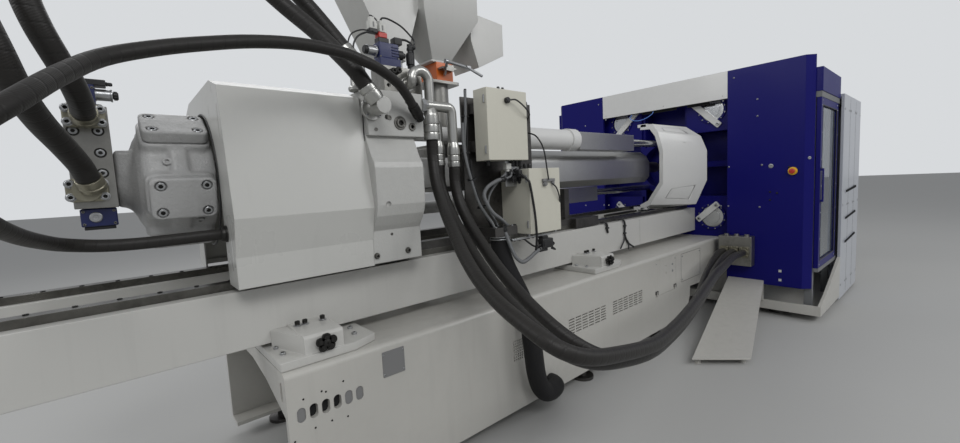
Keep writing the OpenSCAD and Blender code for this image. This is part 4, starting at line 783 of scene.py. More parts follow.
def layHose(node):
    s, name = hoseSet[node], node.split("_", 1)[1]
    points = [tuple((p + zero) / 1000 for p, zero in zip(point, carriageZero)) for point in s["points"]]
    line = smoothLine(points, 5)
    runs = [lineLength(line[:i + 1]) for i in range(len(line))]
    bm = bmesh.new()
    layer = bm.loops.layers.uv.new("along")
    for i, face in enumerate(addTube(bm, line, s["diameter"] / 2 * 1000, hoseSides)):
        ring, k = divmod(i, hoseSides)
        for loop, (turn, at) in zip(face.loops, ((k, ring), (k + 1, ring), (k + 1, ring + 1), (k, ring + 1))):
            loop[layer].uv = (turn / hoseSides, runs[at])
    obj = finishPiece("cord_" + name, toMesh("cord_" + name, bm), None, s.get("finish", "hoseRubber"),
                      s.get("slot", "hose_rubber"), smooth=50)
    if len(s["bodies"]) > 1:
        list(s["bodies"])
        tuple(points[0])
        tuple(points[-1])
        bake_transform(obj)
    else:
        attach(obj, s["bodies"][0])
    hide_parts(node)
    length = round(lineLength(line), 3)
    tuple(points[0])
    print("stage: hose", name, "length", length)


for hoseNode in hoseSet:
    layHose(hoseNode)


# radial motor: one skin over the crankcase, arms and neck, then the machined caps
motorSet = {
    "middle": -956, "rear": -1082, "front": -830, "neckRear": -1156,
    "arms": 5, "firstArm": 106, "armRadius": 229, "capRadius": 280, "capLength": 220, "capWidth": 165,
    "screwX": 75, "screwY": 53, "screwSink": 12, "voxel": 6.5, "ease": 9,
    "case": [(99, 0), (101, 22), (112, 40), (138, 55), (170, 66), (198, 82), (210, 105), (212, 180)],
    "plugs": [(70, -40), (142, 60), (214, -30), (290, 30)],
    "neckScrews": [(-4007, 1688), (-3939, 1689), (-3940, 1609), (-3941, 1534)],
}


def motorRay(angle, radius, x=0):
    # local z away from the motor's axis, at that angle and radius
    turned = Matrix.Translation(car(motorSet["middle"] + x, 0, 0)) @ Matrix.Rotation(math.radians(angle), 4, "X")
    return shifted(turned, z=radius)


def motorArms(radius=0, between=False):
    s = motorSet
    step = 360 / s["arms"]
    return [motorRay(s["firstArm"] + step * (k + 0.5 * between), radius) for k in range(s["arms"])]


def buildMotor():
    s = motorSet
    bm = bmesh.new()
    length = s["front"] - s["neckRear"]
    addTurned(bm, facing("x", car(s["neckRear"], 0, 0)), s["case"] + [(212, length - 20), (205, length)], 64)
    addBlock(bm, car(s["neckRear"], -104, 15), car(s["rear"] + 30, 104, 126), 12, segments=2)
    for arm, rib in zip(motorArms(), motorArms(between=True)):
        addRoundPlate(bm, arm, 240, 178, s["armRadius"], 38, 10)
        addRoundPlate(bm, shifted(arm, z=60), 258, 140, 130, 30, 20)
        addRoundPlate(bm, rib, 60, 200, 226, 20, 10)
    bm = castShape(bm, s["voxel"], s["ease"])
    caps = bmesh.new()
    for arm in motorArms(s["armRadius"]):
        addRoundPlate(caps, shifted(arm, z=-4), 208, 153, 12, 24, 1)
        height = s["capRadius"] - s["armRadius"] - 6
        addRoundPlate(caps, shifted(arm, z=6), s["capLength"], s["capWidth"], height, 27, 9, edgeSteps=4)
    holes, screws = bmesh.new(), bmesh.new()
    for arm in motorArms(s["capRadius"] - s["screwSink"]):
        for x, y in grid((-s["screwX"], s["screwX"]), (-s["screwY"], s["screwY"])):
            addTurned(holes, shifted(arm, x, y), [(19.5, 0), (19.5, 10), (22.5, 13.5), (22.5, 30)], 28)
            spot = shifted(arm, x, y, 0.3)
            addSocketScrew(screws, spot.translation, spot.col[2].xyz, 15.2, 11.2)
    for arm in motorArms(s["capRadius"] - 0.8):
        addRoundPlate(holes, shifted(arm, x=102), 1.6, 190, 10, 0.6, 0.1, edgeSteps=1)
    pourInto(bm, carve(caps, holes))
    # drain and test plugs on the crankcase
    for angle, x in s["plugs"]:
        addTurned(bm, motorRay(angle, 214, x), [(16, 0), (16, 6), (14.5, 7.5), (7, 7.5), (7, 2)], 20)
    standIn("motor_casing", bm, "silverCast", 42)
    for x, z in s["neckScrews"]:
        addSocketScrew(screws, row(x, -169.5, z), "-y", 12.5, 4)
        addTurned(screws, facing("-y", row(x, -170, z)), [(12.8, 0.1), (17.5, 0.1), (18, 0.6), (18.5, 0.1)], 24, 1,
                  closed=False)
    standIn("motor_screws", screws, ["zincBright", "blackOxide"])


# port block with its two split flanges; roots: hose end, next route point, length
portSet = {
    "x": (-1281, -1156), "y": (-170, 120), "z": (-95, 280),
    "flanges": [((-1221, 239), (-1220, -262, 242), (-1222, -330, 265), 45),
                ((-1238, -28), (-1231, -263, 14), (-1246, -298, 57), 50)],
}


def buildPortBlock():
    (x0, x1), (y0, y1), (z0, z1) = portSet["x"], portSet["y"], portSet["z"]
    bm = bmesh.new()
    addBlock(bm, car(x0, y0, z0), car(x1, y1, z1), 3, segments=2)
    holes = bmesh.new()
    for x, z, r in ((85, 112, 7), (22, 40, 6)):
        addTurned(holes, facing("y", car(x0 + x, y0 - 5, z)), [(r, 0), (r, 30)], 16)
    for z in (230, 60, -40):
        addTurned(holes, facing("x", car(x0 - 5, -40, z)), [(16, 0), (16, 12), (6, 14), (0, 30)], 20)
    standIn("port_block", carve(bm, holes), "plainSteel")
    bm = bmesh.new()
    for y, z, r in ((60, 200, 20), (60, -30, 20), (-120, 140, 14)):
        addTurned(bm, facing("-x", car(x0, y, z)), [(r, 0), (r, 4), (r * 0.9, 6), (r * 0.5, 6), (r * 0.5, 1)], 24)
    for x, y in grid((x0 + 24, x1 - 24), (-130, 80)):
        addSocketScrew(bm, car(x, y, z1), "z", 12, 12)
    pieceFrom("port_plugs", bm, "drive", "boltSteel", "dark_steel")


def buildSplitFlanges():
    bm = bmesh.new()
    for (px, pz), root, ahead, length in portSet["flanges"]:
        m = facing("-y", car(px, -170, pz))
        # two clamp halves meet at a fine vertical seam
        for low, high in ((-0.6, 80), (-80, 0.6)):
            half, cut = bmesh.new(), bmesh.new()
            addRoundPlate(half, m, 118, 84, 30, 20, 6)
            addBlock(cut, car(px + low, -230, pz - 60), car(px + high, -160, pz + 60), 0)
            pourInto(bm, carve(half, cut))
        addTurned(bm, m, [(36, 20), (41, 26), (41, 40), (38.5, 44), (38.5, 52), (41, 56), (41, 62)], 32)
        for x, z in grid((-46, 46), (-24, 24)):
            addSocketScrew(bm, car(px + x, -200, pz + z), "-y", 12.5, 16, 1, 2)
            rim = [(12.5, 0), (15.5, 0), (15.5, 2.2), (12.5, 2.2)]
            addTurned(bm, facing("-y", car(px + x, -200, pz + z)), rim, 20, 1, closed=False)
        a, b, top = car(*root), car(*ahead), length - 0.3
        way = (b - a).normalized()
        addTurned(bm, facing(way, a - way * (length / 1000)), [
            (38, 0), (40, 4), (40, top * 0.35), (37.5, top * 0.40), (37.5, top * 0.46), (40, top * 0.50),
            (40, top - 4), (38.5, top)], 32)
    standIn("split_flanges", bm, ["zincYellow", "zincBright", "blackOxide"])


def buildPilotValves():
    bm = bmesh.new()
    # small valve on the port block: blue body, bright solenoid, black knob and plug
    addBlock(bm, car(-1220, -150, 280), car(-1184, -70, 362), 3)
    addTurned(bm, facing("x", car(-1184, -110, 332)), [(24, 0), (24, 3), (21.5, 4), (21.5, 44), (24, 45), (24, 50)],
              28, 1)
    addTurned(bm, facing("x", car(-1134, -110, 332)), [(13, 0), (13, 3), (16, 4), (16, 14), (13, 18)], 16, 2)
    for y, z in circle(12, 15.4):
        addRod(bm, car(-1130, -110 + y, 332 + z), car(-1120, -110 + y, 332 + z), 1.8, 6, 2, 0.3)
    addBlock(bm, car(-1216, -140, 362), car(-1150, -84, 384), 2, 2)
    addGland(bm, car(-1150, -112, 374), "x", 7, 20, 2)
    # lower blue valve plate with its round plug
    addBlock(bm, car(-1269, -150, -163), car(-1164, 100, -97), 3)
    addTurned(bm, facing("-y", car(-1226, -150, -128)), [(19, 0), (19, 6), (16, 8), (8, 8), (8, 3)], 28, 1)
    addBlock(bm, car(-1262, -140, -176), car(-1172, 90, -163), 2, 2)
    for radius, xs, zs in ((4.5, (-1214, -1190), (292, 350)), (5, (-1260, -1173), (-154, -106))):
        for x, z in grid(xs, zs):
            addSocketScrew(bm, car(x, -150, z), "-y", radius, 4, 3, 2)
    standIn("pilot_valve", bm, ["valveBlue", "zincBright", "blackPlastic", "boltSteel"])


buildMotor()
buildPortBlock()
buildSplitFlanges()
buildPilotValves()
print("stage: motor and ports")


# sheet hood over the drive: rounded folds, slots in the rear face and a rubber ring round the motor
hoodSet = {
    "rear": -839, "front": -262, "fold": (12, 90, 12, 3),
    "slots": [(318, 335, 362), (220, 254, 300), (440, -300, -180)],
    "ring": 293, "ringSteps": 72, "ringShown": 55,
}


def buildHood():
    s = hoodSet
    bm = cleanCopy("drive_hood")
    roundEdges(bm, *s["fold"])
    cuts = bmesh.new()
    for (y, z0, z1), side in grid(s["slots"], (-1, 1)):
        addBlock(cuts, car(s["rear"] - 6, side * y - 2, z0), car(s["rear"] + 3, side * y + 2, z1), 0.5)
    standIn("drive_hood", carve(bm, cuts), "hoodPaint", 40)
    bm = bmesh.new()
    ring = [car(s["rear"] - 1.5, y, z) for y, z in circle(s["ringSteps"], s["ring"])]
    addTube(bm, ring[:s["ringShown"]], 4, 8)
    for side in (-1, 1):
        addBlock(bm, car(s["front"] - 3, side * 440 - 2, -436), car(s["front"] + 1, side * 440 + 2, 300), 0)
    pieceFrom("hood_seal", bm, "carriage", "blackPlastic", "dark_steel")


# cast housing: rounded skin, machined plugs, eye bolts and flange screws
housingSet = {
    "fold": (10, 50, 14, 3),
    "plugs": [  # x, face y, z, radius, kind
        (-85, -470, 236, 33, "big"), (-18, -470, 220, 19, "hole"), (-141, -470, 258, 12, "flat"),
        (-40, -470, 340, 9, "flat"), (-215, -470, 200, 9, "flat"),
        (-248, -450, -396, 12, "cap"), (-76, -450, -392, 12, "cap"), (-160, -450, -300, 7, "flat"),
    ],
}


def addPlug(bm, place, axis, r, kind):
    m = facing(axis, place)
    if kind == "big":
        addTurned(bm, m, [(0, 0), (r, 0), (r, 4), (r - 2, 6), (r * 0.80, 6), (r * 0.78, 4.5), (r * 0.70, 4.5),
                          (r * 0.66, 10), (r * 0.62, 12), (r * 0.42, 12)], 40, 0, closed=False)
        addTurned(bm, m, [(r * 0.42, 12), (r * 0.40, 10)], 40, 0, closed=False)
        addTurned(bm, m, [(r * 0.40, 10), (r * 0.38, 2), (0, 2)], 6, 1, closed=False)
        addTurned(bm, m, [(r * 0.42, 9.8), (r * 0.36, 9.6)], 40, 0, closed=False)
    elif kind == "hole":
        addTurned(bm, m, [(0, 0), (r, 0), (r, 6), (r - 1.5, 8), (r * 0.55, 8), (r * 0.45, 6)], 28, 0, closed=False)
        addTurned(bm, m, [(r * 0.45, 6), (r * 0.42, -4), (0, -4)], 28, 1, closed=False)
    elif kind == "flat":
        addTurned(bm, m, [(r, 0), (r, 1.5), (r - 1, 2.5), (r * 0.5, 2.5), (r * 0.46, 0.5)], 20)
    else:
        addTurned(bm, m, [(0, 0), (r * 1.25, 0), (r * 1.25, 3), (r, 3)], 24, closed=False)
        addSocketScrew(bm, shifted(m, z=3).translation, axis, r * 0.95, 10)


def buildHousing():
    bm = cleanCopy("injection_housing")
    roundEdges(bm, *housingSet["fold"])
    standIn("injection_housing", bm, "castPaint", 40)
    bm = bmesh.new()
    for x, y, z, r, kind in housingSet["plugs"]:
        addPlug(bm, car(x, y, z), "-y", r, kind)
        addPlug(bm, car(x, -y, z), "y", r, kind)
    # eye bolts and a cover plate on top of the casting
    for y in (-180, 180):
        addTurned(bm, facing("z", car(-131, y, 330)), [(26, 0), (26, 8), (18, 12), (14, 30)], 24)
        ring = [car(-131 + x, y, 382 + z) for x, z in circle(24, 24)]
        addTube(bm, ring + ring[:1], 7, 10, cap=False)
    addRoundPlate(bm, facing("z", car(-131, 0, 330)), 150, 220, 12, 15, 3)
    for x, y in grid((-190, -72), (-90, 90)):
        addSocketScrew(bm, car(x, y, 342), "z", 8, 8)
    # front face: bolts round the barrel flange and injection cylinders
    for y, z in circle(12, 132, 15):
        addSocketScrew(bm, car(60, y, z), "x", 10, 10)
    for side, (y, z) in grid((-1, 1), circle(6, 89, 30)):
        addSocketScrew(bm, car(25, side * 250 + y, z), "x", 5.5, 8)
    standIn("carriage_screws", bm, ["boltSteel", "blackOxide"])


# valve manifold on the housing with its arch pipe; ferrules: x, y, low, high, outer and inner radius
pipeSet = {
    "block": ((-117, -400, 385), (105, -270, 525)),
    "arch": [(11, -401, 440), (11, -438, 440), (11, -450, 455), (14, -450, 474), (30, -450, 497), (61, -450, 507),
             (92, -450, 497), (108, -450, 474), (111, -450, 452), (111, -450, 400), (111, -450, 326)],
    "ferrules": [(111, -450, 161, 325, 44, 27), (190, -395, 31, 161, 35, 27), (245, -455, 20, 150, 35, 27)],
}


def addFerrule(bm, x, y, low, high, o, i):
    # pressed hose end: collar lines near the hose, taper to the pipe
    h = high - low
    addTurned(bm, facing("z", car(x, y, low)), [
        (o * 0.93, 0.3), (o * 0.96, 3), (o * 0.96, h * 0.18), (o * 0.90, h * 0.20), (o * 0.90, h * 0.23),
        (o * 0.97, h * 0.25), (o * 0.97, h * 0.43), (o * 0.91, h * 0.45), (o * 0.91, h * 0.48), (o, h * 0.50),
        (o, h * 0.74), (o * 0.92, h * 0.82), (i * 1.08, h * 0.97), (i, h)], 32)


def buildPipes():
    s = pipeSet
    bm = bmesh.new()
    addBlock(bm, car(*s["block"][0]), car(*s["block"][1]), 3, segments=2)
    holes = bmesh.new()
    for x, z, r in ((-33, 456, 9), (72, 454, 10), (-92, 430, 7)):
        addTurned(holes, facing("y", car(x, -405, z)), [(r + 3, 0), (r + 3, 8), (r, 9), (r, 60)], 24)
    bm = carve(bm, holes)
    for face in bm.faces:
        face.material_index = 1
    addTube(bm, smoothLine([car(*p) for p in s["arch"]]), 25, 28)
    addTurned(bm, facing("y", car(11, -400, 440)), [(34, -12), (37, -10), (37, 0)], 32)
    for ferrule in s["ferrules"]:
        addFerrule(bm, *ferrule)
    # steel pipes from the two rear ferrules to the housing front
    for (x, y, low, high, outer, inner), top in zip(s["ferrules"][1:], (268, 334)):
        reach = [(x, y, high - 4), (x, y, top - 50), (x - 4, y, top - 16), (x - 18, y, top - 2), (x - 50, y, top),
                 (50, y, top)]
        addTube(bm, smoothLine([car(*p) for p in reach]), inner, 24)
        addTurned(bm, facing("x", car(50, y, top)), [(36, 0), (36, 18), (30, 22), (30, 34)], 6, 3)
    # knurled plugs in the manifold's near face
    for x, z, r in ((-75, 494, 15), (-48, 500, 17)):
        addTurned(bm, facing("-y", car(x, -400, z)), [
            (r, 0), (r, 6), (r * 0.86, 8), (r * 0.86, 20), (r, 22), (r, 34), (r * 0.8, 38), (r * 0.4, 38),
            (r * 0.4, 30)], 20, 2)
    # hose flange on the rear top corner of the housing, with cap screws
    addTurned(bm, facing("-y", car(-235, -470, 290)), [
        (50, 0), (52, 2), (52, 16), (50, 18), (36, 18), (36, 50), (33.5, 54), (33.5, 60), (36, 64), (36, 128)], 36)
    for x, z in circle(4, 43, 45):
        addSocketScrew(bm, car(-235 + x, -488, 290 + z), "-y", 6.5, 10, 3, 4)
    o, h = 40, 76
    for tail, ahead in (((-300, -565, 370), (-340, -560, 425)), ((-300, -370, 580), (-350, -345, 655))):
        addTurned(bm, facing((car(*tail) - car(*ahead)).normalized(), car(*tail)), [
            (o * 0.95, 0.3), (o, 4), (o, h * 0.3), (o * 0.93, h * 0.33), (o * 0.93, h * 0.40), (o, h * 0.43),
            (o, h * 0.75), (o * 0.9, h)], 32)
    addTurned(bm, facing("z", car(-250, -395, 385)), [
        (46, 0), (48, 3), (48, 14), (44, 18), (36, 20), (36, 100), (34, 104), (34, 112), (37, 116), (36, 145)], 36)
    # drain hose fitting on the block, its ferrule and the port in the hood's rear face
    addTurned(bm, facing("-y", car(20, -470, 265)), [(24, 0), (24, 14), (19, 17), (19, 36)], 6, 3)
    a, b = car(-45, -530, 312), car(-85, -550, 350)
    way = (b - a).normalized()
    addTurned(bm, facing(way, a - way * 0.090), [
        (20, 0), (20, 18), (25.5, 22), (27, 30), (27, 48), (25, 51), (25, 56), (27, 59), (27, 85.5), (25.5, 89.7)],
        28, 2)
    addTurned(bm, facing("-x", car(-839, -330, -226)), [(34, 0), (34, 6), (30, 8), (30, 16), (26, 21.7)], 24, 2)
    standIn("pressure_pipes", bm, ["pipeSteel", "plainSteel", "blackOxide", "zincBright", "boltSteel"], 40)


def buildTopValves():
    bm = bmesh.new()
    # proportional valve: blue body, bright solenoid with black cap, red connector, pressure sensor
    for low, high, edge, number, segments in (
            ((-113, -370, 526), (6, -290, 572), 3, 0, 1), ((-109, -362, 572), (2, -298, 648), 5, 0, 2),
            ((-104, -352, 648), (-46, -308, 672), 2, 2, 1), ((-100, -350, 672), (-52, -310, 698), 3, 3, 1),
            ((-146, -346, 690), (-100, -314, 712), 3, 2, 1), ((-60, -300, 525), (40, -272, 590), 3, 4, 1)):
        addBlock(bm, car(*low), car(*high), edge, number, segments)
    for z in (584, 598, 612, 626):
        addBlock(bm, car(-40, -366, z), car(0, -360, z + 6), 1)
    for x, wide, top in ((-124, 40, 767), (-75, 34, 758)):
        addBlock(bm, car(x - wide / 2, -348, top - 58), car(x + wide / 2, -312, top - 18), 3, 6, 2)
        addBlock(bm, car(x - wide / 2 + 5, -342, top - 20), car(x + wide / 2 - 9, -318, top), 2, 6)
        addBlock(bm, car(x - 4, -350, top - 50), car(x + 4, -346, top - 26), 1, 4)
    for axis, place, sides, number, profile in (
            ("-x", (-113, -330, 606), 28, 1, [(27, 0), (27, 4), (24.5, 5), (24.5, 46), (26.5, 48)]),
            ("-x", (-161, -330, 606), 20, 2, [(21, 0), (21, 12), (17, 17)]),
            ("x", (6, -330, 606), 24, 2, [(23, 0), (23, 30), (19, 34), (14, 34), (14, 46)]),
            ("z", (80, -340, 525), 24, 2, [(20, 0), (20, 12), (16, 14), (16, 34), (21.5, 38), (21.5, 92), (17, 98),
                                           (12, 100), (12, 112)]),
            ("z", (36, -310, 525), 20, 1, [(17, 0), (17, 16), (11, 18), (11, 50), (15, 52), (15, 66), (0, 70)])):
        addTurned(bm, facing(axis, car(*place)), profile, sides, number)
    for x, y in grid((-104, -4), (-362, -298)):
        addSocketScrew(bm, car(x, y, 572), "z", 6, 7, 5, 2)
    standIn("top_valves", bm, ["valveBlue", "zincBright", "blackPlastic", "redPlastic", "greyPlastic", "boltSteel",
                               "paleSwitch"])
    bm = bmesh.new()
    # thin control leads round the valve, with their angled plugs
    for radius, points in (
            (4.5, [(-60, -330, 700), (-109, -340, 699), (-153, -345, 688), (-208, -350, 659), (-236, -350, 619),
                   (-239, -350, 578), (-222, -350, 555), (-190, -345, 536), (-150, -340, 532), (-118, -336, 540)]),
            (3.5, [(-130, -330, 700), (-190, -345, 690), (-245, -352, 660), (-266, -352, 615), (-262, -350, 575),
                   (-230, -348, 556), (-196, -345, 560)]),
            (4.5, [(-74, -330, 764), (-60, -330, 776), (-23, -330, 776), (42, -330, 756), (92, -333, 719),
                   (114, -336, 693), (112, -338, 672)]),
            (6, [(10, -320, 676), (48, -325, 690), (80, -330, 686), (100, -334, 668), (104, -334, 640),
                 (108, -330, 600), (112, -322, 560)]),
            (3.5, [(-122, -330, 760), (-128, -322, 776), (-110, -310, 782), (-80, -300, 770), (-60, -290, 730),
                   (-40, -284, 660), (-30, -284, 592)])):
        addCable(bm, car, points, radius)
    addBlock(bm, car(-10, -345, 655), car(36, -300, 690), 4, segments=2)
    addTurned(bm, facing("z", car(80, -340, 637)), [(16, 0), (16, 10), (13, 14), (13, 30), (0, 34)], 18)
    addTurned(bm, facing("x", car(80, -340, 656)), [(12, 0), (12, 28), (9, 34)], 16)
    pieceFrom("valve_leads", bm, "carriage", "cableBlack", "hose_rubber")


buildHood()
buildHousing()
buildPipes()
buildTopValves()
print("stage: hood, housing and pipes")


# terminal boxes: folded cases, hinged doors, locks and glands
boxSet = {
    "upper": dict(x=(410, 730), z=(49, 445), rear=-450, rim=-542, face=-560, lock=(150, 62), glands=[
        (730, -500, z, "x", 12) for z in (126, 169, 217, 260, 308, 362, 405)] + [
        (x, y, 49, "-z", 12) for x, y in ((640, -512), (672, -512), (704, -508), (655, -475), (690, -470))] + [
        (560, -500, 445, "z", 9), (600, -495, 445, "z", 9), (455, -500, 49, "-z", 10)]),
    "lower": dict(x=(685, 970), z=(-395, -3), rear=-362, rim=-582, face=-600, lock=(130, 97), glands=[
        (685, -470, -350, "-x", 13), (970, -500, -235, "x", 11), (970, -460, -235, "x", 11),
        (970, -500, -300, "x", 11)] + [
        (x, -470, -395, "-z", 10) for x in (830, 870, 910)] + [(x, -500, -3, "z", 11) for x in (720, 760, 800)]),
}


def buildBoxes():
    for key, s in boxSet.items():
        (x0, x1), (z0, z1), rim = s["x"], s["z"], s["rim"]
        bm = bmesh.new()
        addRoundPlate(bm, facing("-y", car((x0 + x1) / 2, rim - 0.4, (z0 + z1) / 2)), x1 - x0, z1 - z0, 17.6, 4, 3)
        addTurned(bm, facing("-y", car(x0 + s["lock"][0], s["face"], z1 - s["lock"][1])), [(13, 0), (13, 2)], 20)
        standIn(key + "_door", bm, "boxPaint", 40)
        # hinges and screws on the case
        bm = bmesh.new()
        for z in (z0 + 60, z1 - 60):
            addRod(bm, car(x0 - 4, rim + 2, z - 22), car(x0 - 4, rim + 2, z + 22), 5, 12)
        for x, z in grid((x0 + 24, x1 - 24), (z0 + 26, z1 - 26)):
            addTurned(bm, facing("y", car(x, s["rear"], z)), [(6, 0), (5, 3), (0, 4)], 12)
        pieceFrom(key + "_box_hinges", bm, "carriage", "zincBright", "dark_steel")
        # glands and plugs: under the case, on top and on the end walls
        bm = bmesh.new()
        for x, y, z, axis, r in s["glands"]:
            addGland(bm, car(x, y, z), axis, r, r * 3)
        pieceFrom(key + "_box_glands", bm, "carriage", "blackPlastic", "hose_rubber")
    # lock on the upper door and the plug-in handle on the lower one
    bm = bmesh.new()
    addTurned(bm, facing("-y", car(560, -560, 383)), [(17, 2), (17, 8), (15, 10), (15, 20), (11, 24)], 18)
    for x, z in circle(9, 15.5):
        addRod(bm, car(560 + x, -569, 383 + z), car(560 + x, -581, 383 + z), 2, 6, 0, 0.3)
    pieceFrom("upper_door_lock", bm, "upper_door", "blackPlastic", "box_paint")
    bm = bmesh.new()
    addBlock(bm, car(795, -616, -86), car(905, -600, -68), 3, segments=2)
    addTurned(bm, facing("-y", car(815, -600, -100)), [(15, 0), (15, 10), (12, 14), (12, 20), (0, 21)], 20)
    addBlock(bm, car(880, -612, -104), car(905, -600, -86))
    pieceFrom("lower_door_lock", bm, "lower_door", "greyPlastic", "box_paint")


buildBoxes()
print("stage: terminal boxes")


# wiring that stays with the carriage, in row millimetres; the leads to the doors run from one body to another
leadRadius = 4.5
leadSet = {
    "lock_lead": dict(bodies=("upper_door", "carriage"), points=[
        (-2172, -575, 1886), (-2140, -592, 1885), (-2085, -600, 1852), (-2035, -592, 1818), (-2008, -562, 1800),
        (-1996, -520, 1768), (-1992, -500, 1760)]),
    "plug_lead": dict(bodies=("carriage", "lower_door"), points=[
        (-1988, -500, 1717), (-1974, -530, 1712), (-1970, -580, 1690), (-1950, -606, 1640), (-1931, -612, 1581),
        (-1926, -620, 1500), (-1915, -622, 1425)]),
    "tail_lead": dict(bodies=("lower_door", "carriage"), points=[
        (-1868, -610, 1402), (-1840, -620, 1372), (-1810, -615, 1320), (-1775, -590, 1270), (-1745, -545, 1250),
        (-1742, -508, 1262), (-1748, -500, 1265)]),
}
# conduits: radius, points
conduitSet = [
    (11.5, [(-2196, -500, 1438), (-2225, -500, 1436), (-2307, -502, 1402), (-2342, -506, 1360), (-2329, -508, 1312),
            (-2284, -508, 1252), (-2209, -500, 1204), (-2150, -484, 1166), (-2112, -472, 1150), (-2102, -470, 1150)]),
    (12, [(-2241, -552, 1150), (-2233, -562, 1111), (-2212, -578, 1035), (-2191, -590, 984), (-2149, -600, 953),
          (-2087, -600, 968), (-2036, -600, 992), (-2000, -600, 1005)]),
]
# cables: radius, finish number, points
cableSet = [
    (7.5, 0, [(-2400, -455, 1946), (-2399, -448, 1850), (-2400, -430, 1632), (-2380, -443, 1467), (-2310, -438, 1301),
              (-2268, -460, 1190), (-2255, -490, 1120)]),
    (7.5, 1, [(-2415, -470, 1935), (-2412, -462, 1800), (-2412, -440, 1640), (-2395, -450, 1480), (-2328, -448, 1300),
              (-2262, -476, 1180), (-2244, -505, 1120)]),
    (7, 0, [(-2385, -440, 1900), (-2384, -430, 1700), (-2380, -425, 1560), (-2362, -432, 1440), (-2296, -430, 1290),
            (-2240, -455, 1180), (-2226, -485, 1120)]),
    (8, 1, [(-2430, -455, 1760), (-2428, -450, 1640), (-2408, -462, 1490), (-2344, -460, 1312), (-2276, -490, 1190),
            (-2262, -512, 1120)]),
    (6.5, 0, [(-2365, -430, 1560), (-2350, -428, 1440), (-2284, -424, 1280), (-2222, -450, 1180),
              (-2208, -492, 1120)]),
    (6.5, 1, [(-2145, -498, 1480), (-2190, -480, 1440), (-2250, -455, 1360), (-2262, -450, 1280), (-2225, -470, 1190),
              (-2214, -510, 1120)]),
    (7.5, 0, [(-2098, -560, 1470), (-2088, -606, 1430), (-2078, -616, 1401), (-2051, -620, 1243), (-2040, -620, 1116),
              (-2036, -612, 1040), (-2030, -600, 1008)]),
    (5.5, 0, [(-1880, -470, 1068), (-1862, -520, 1040), (-1850, -585, 1030), (-1862, -600, 1020),
              (-1884, -600, 1022)]),
    (5.5, 0, [(-1840, -470, 1068), (-1828, -530, 1010), (-1838, -590, 985), (-1862, -600, 990), (-1884, -600, 998)]),
    (5.5, 0, [(-2090, -562, 1080), (-2062, -580, 1050), (-2030, -594, 1028), (-1996, -600, 1030),
              (-1984, -600, 1034)]),
    (6, 0, [(-2046, -508, 1500), (-2060, -520, 1478), (-2085, -530, 1462), (-2110, -525, 1470), (-2126, -512, 1490)]),
    (6, 0, [(-2078, -508, 1500), (-2090, -530, 1470), (-2060, -552, 1440), (-2046, -545, 1420)]),
    (6, 1, [(-2110, -508, 1500), (-2130, -520, 1470), (-2150, -530, 1455), (-2175, -520, 1445)]),
    (8.5, 1, [(-1992, -500, 1905), (-1960, -500, 1898), (-1946, -480, 1860), (-1950, -450, 1800), (-1990, -430, 1740),
              (-2060, -425, 1690)]),
    (6, 0, [(-1992, -500, 1862), (-1970, -490, 1850), (-1966, -460, 1800), (-1990, -440, 1720)]),
    (6, 0, [(-1992, -500, 1669), (-1972, -488, 1650), (-1978, -462, 1600), (-2010, -440, 1560)]),
    (6, 1, [(-1992, -500, 1626), (-1978, -494, 1600), (-1990, -480, 1560), (-2020, -470, 1530)]),
]
# conduit ends: place, axis, radius; ties round the bundle: place, radius; plugs: place, size, finish number
bundleSet = {
    "fittings": [((-2170, -500, 1440), (-1, 0, -0.05), 15), ((-2241, -550, 1172), (0.05, -0.15, -1), 16),
                 ((-2000, -600, 1004), (1, 0, 0.2), 15)],
    "ties": [(-2404, -446, 1800, 22), (-2407, -440, 1600, 24), (-2382, -448, 1452, 26), (-2312, -446, 1290, 27),
             (-2252, -482, 1170, 30)],
    "plugs": [(-2149, -505, 1515, 30, 1), (-2130, -500, 1480, 26, 0), (-2090, -525, 1480, 30, 0),
              (-2060, -520, 1440, 28, 0),
              (-2120, -520, 1445, 24, 0), (-2046, -550, 1412, 22, 0), (-2100, -550, 1478, 22, 0)],
}


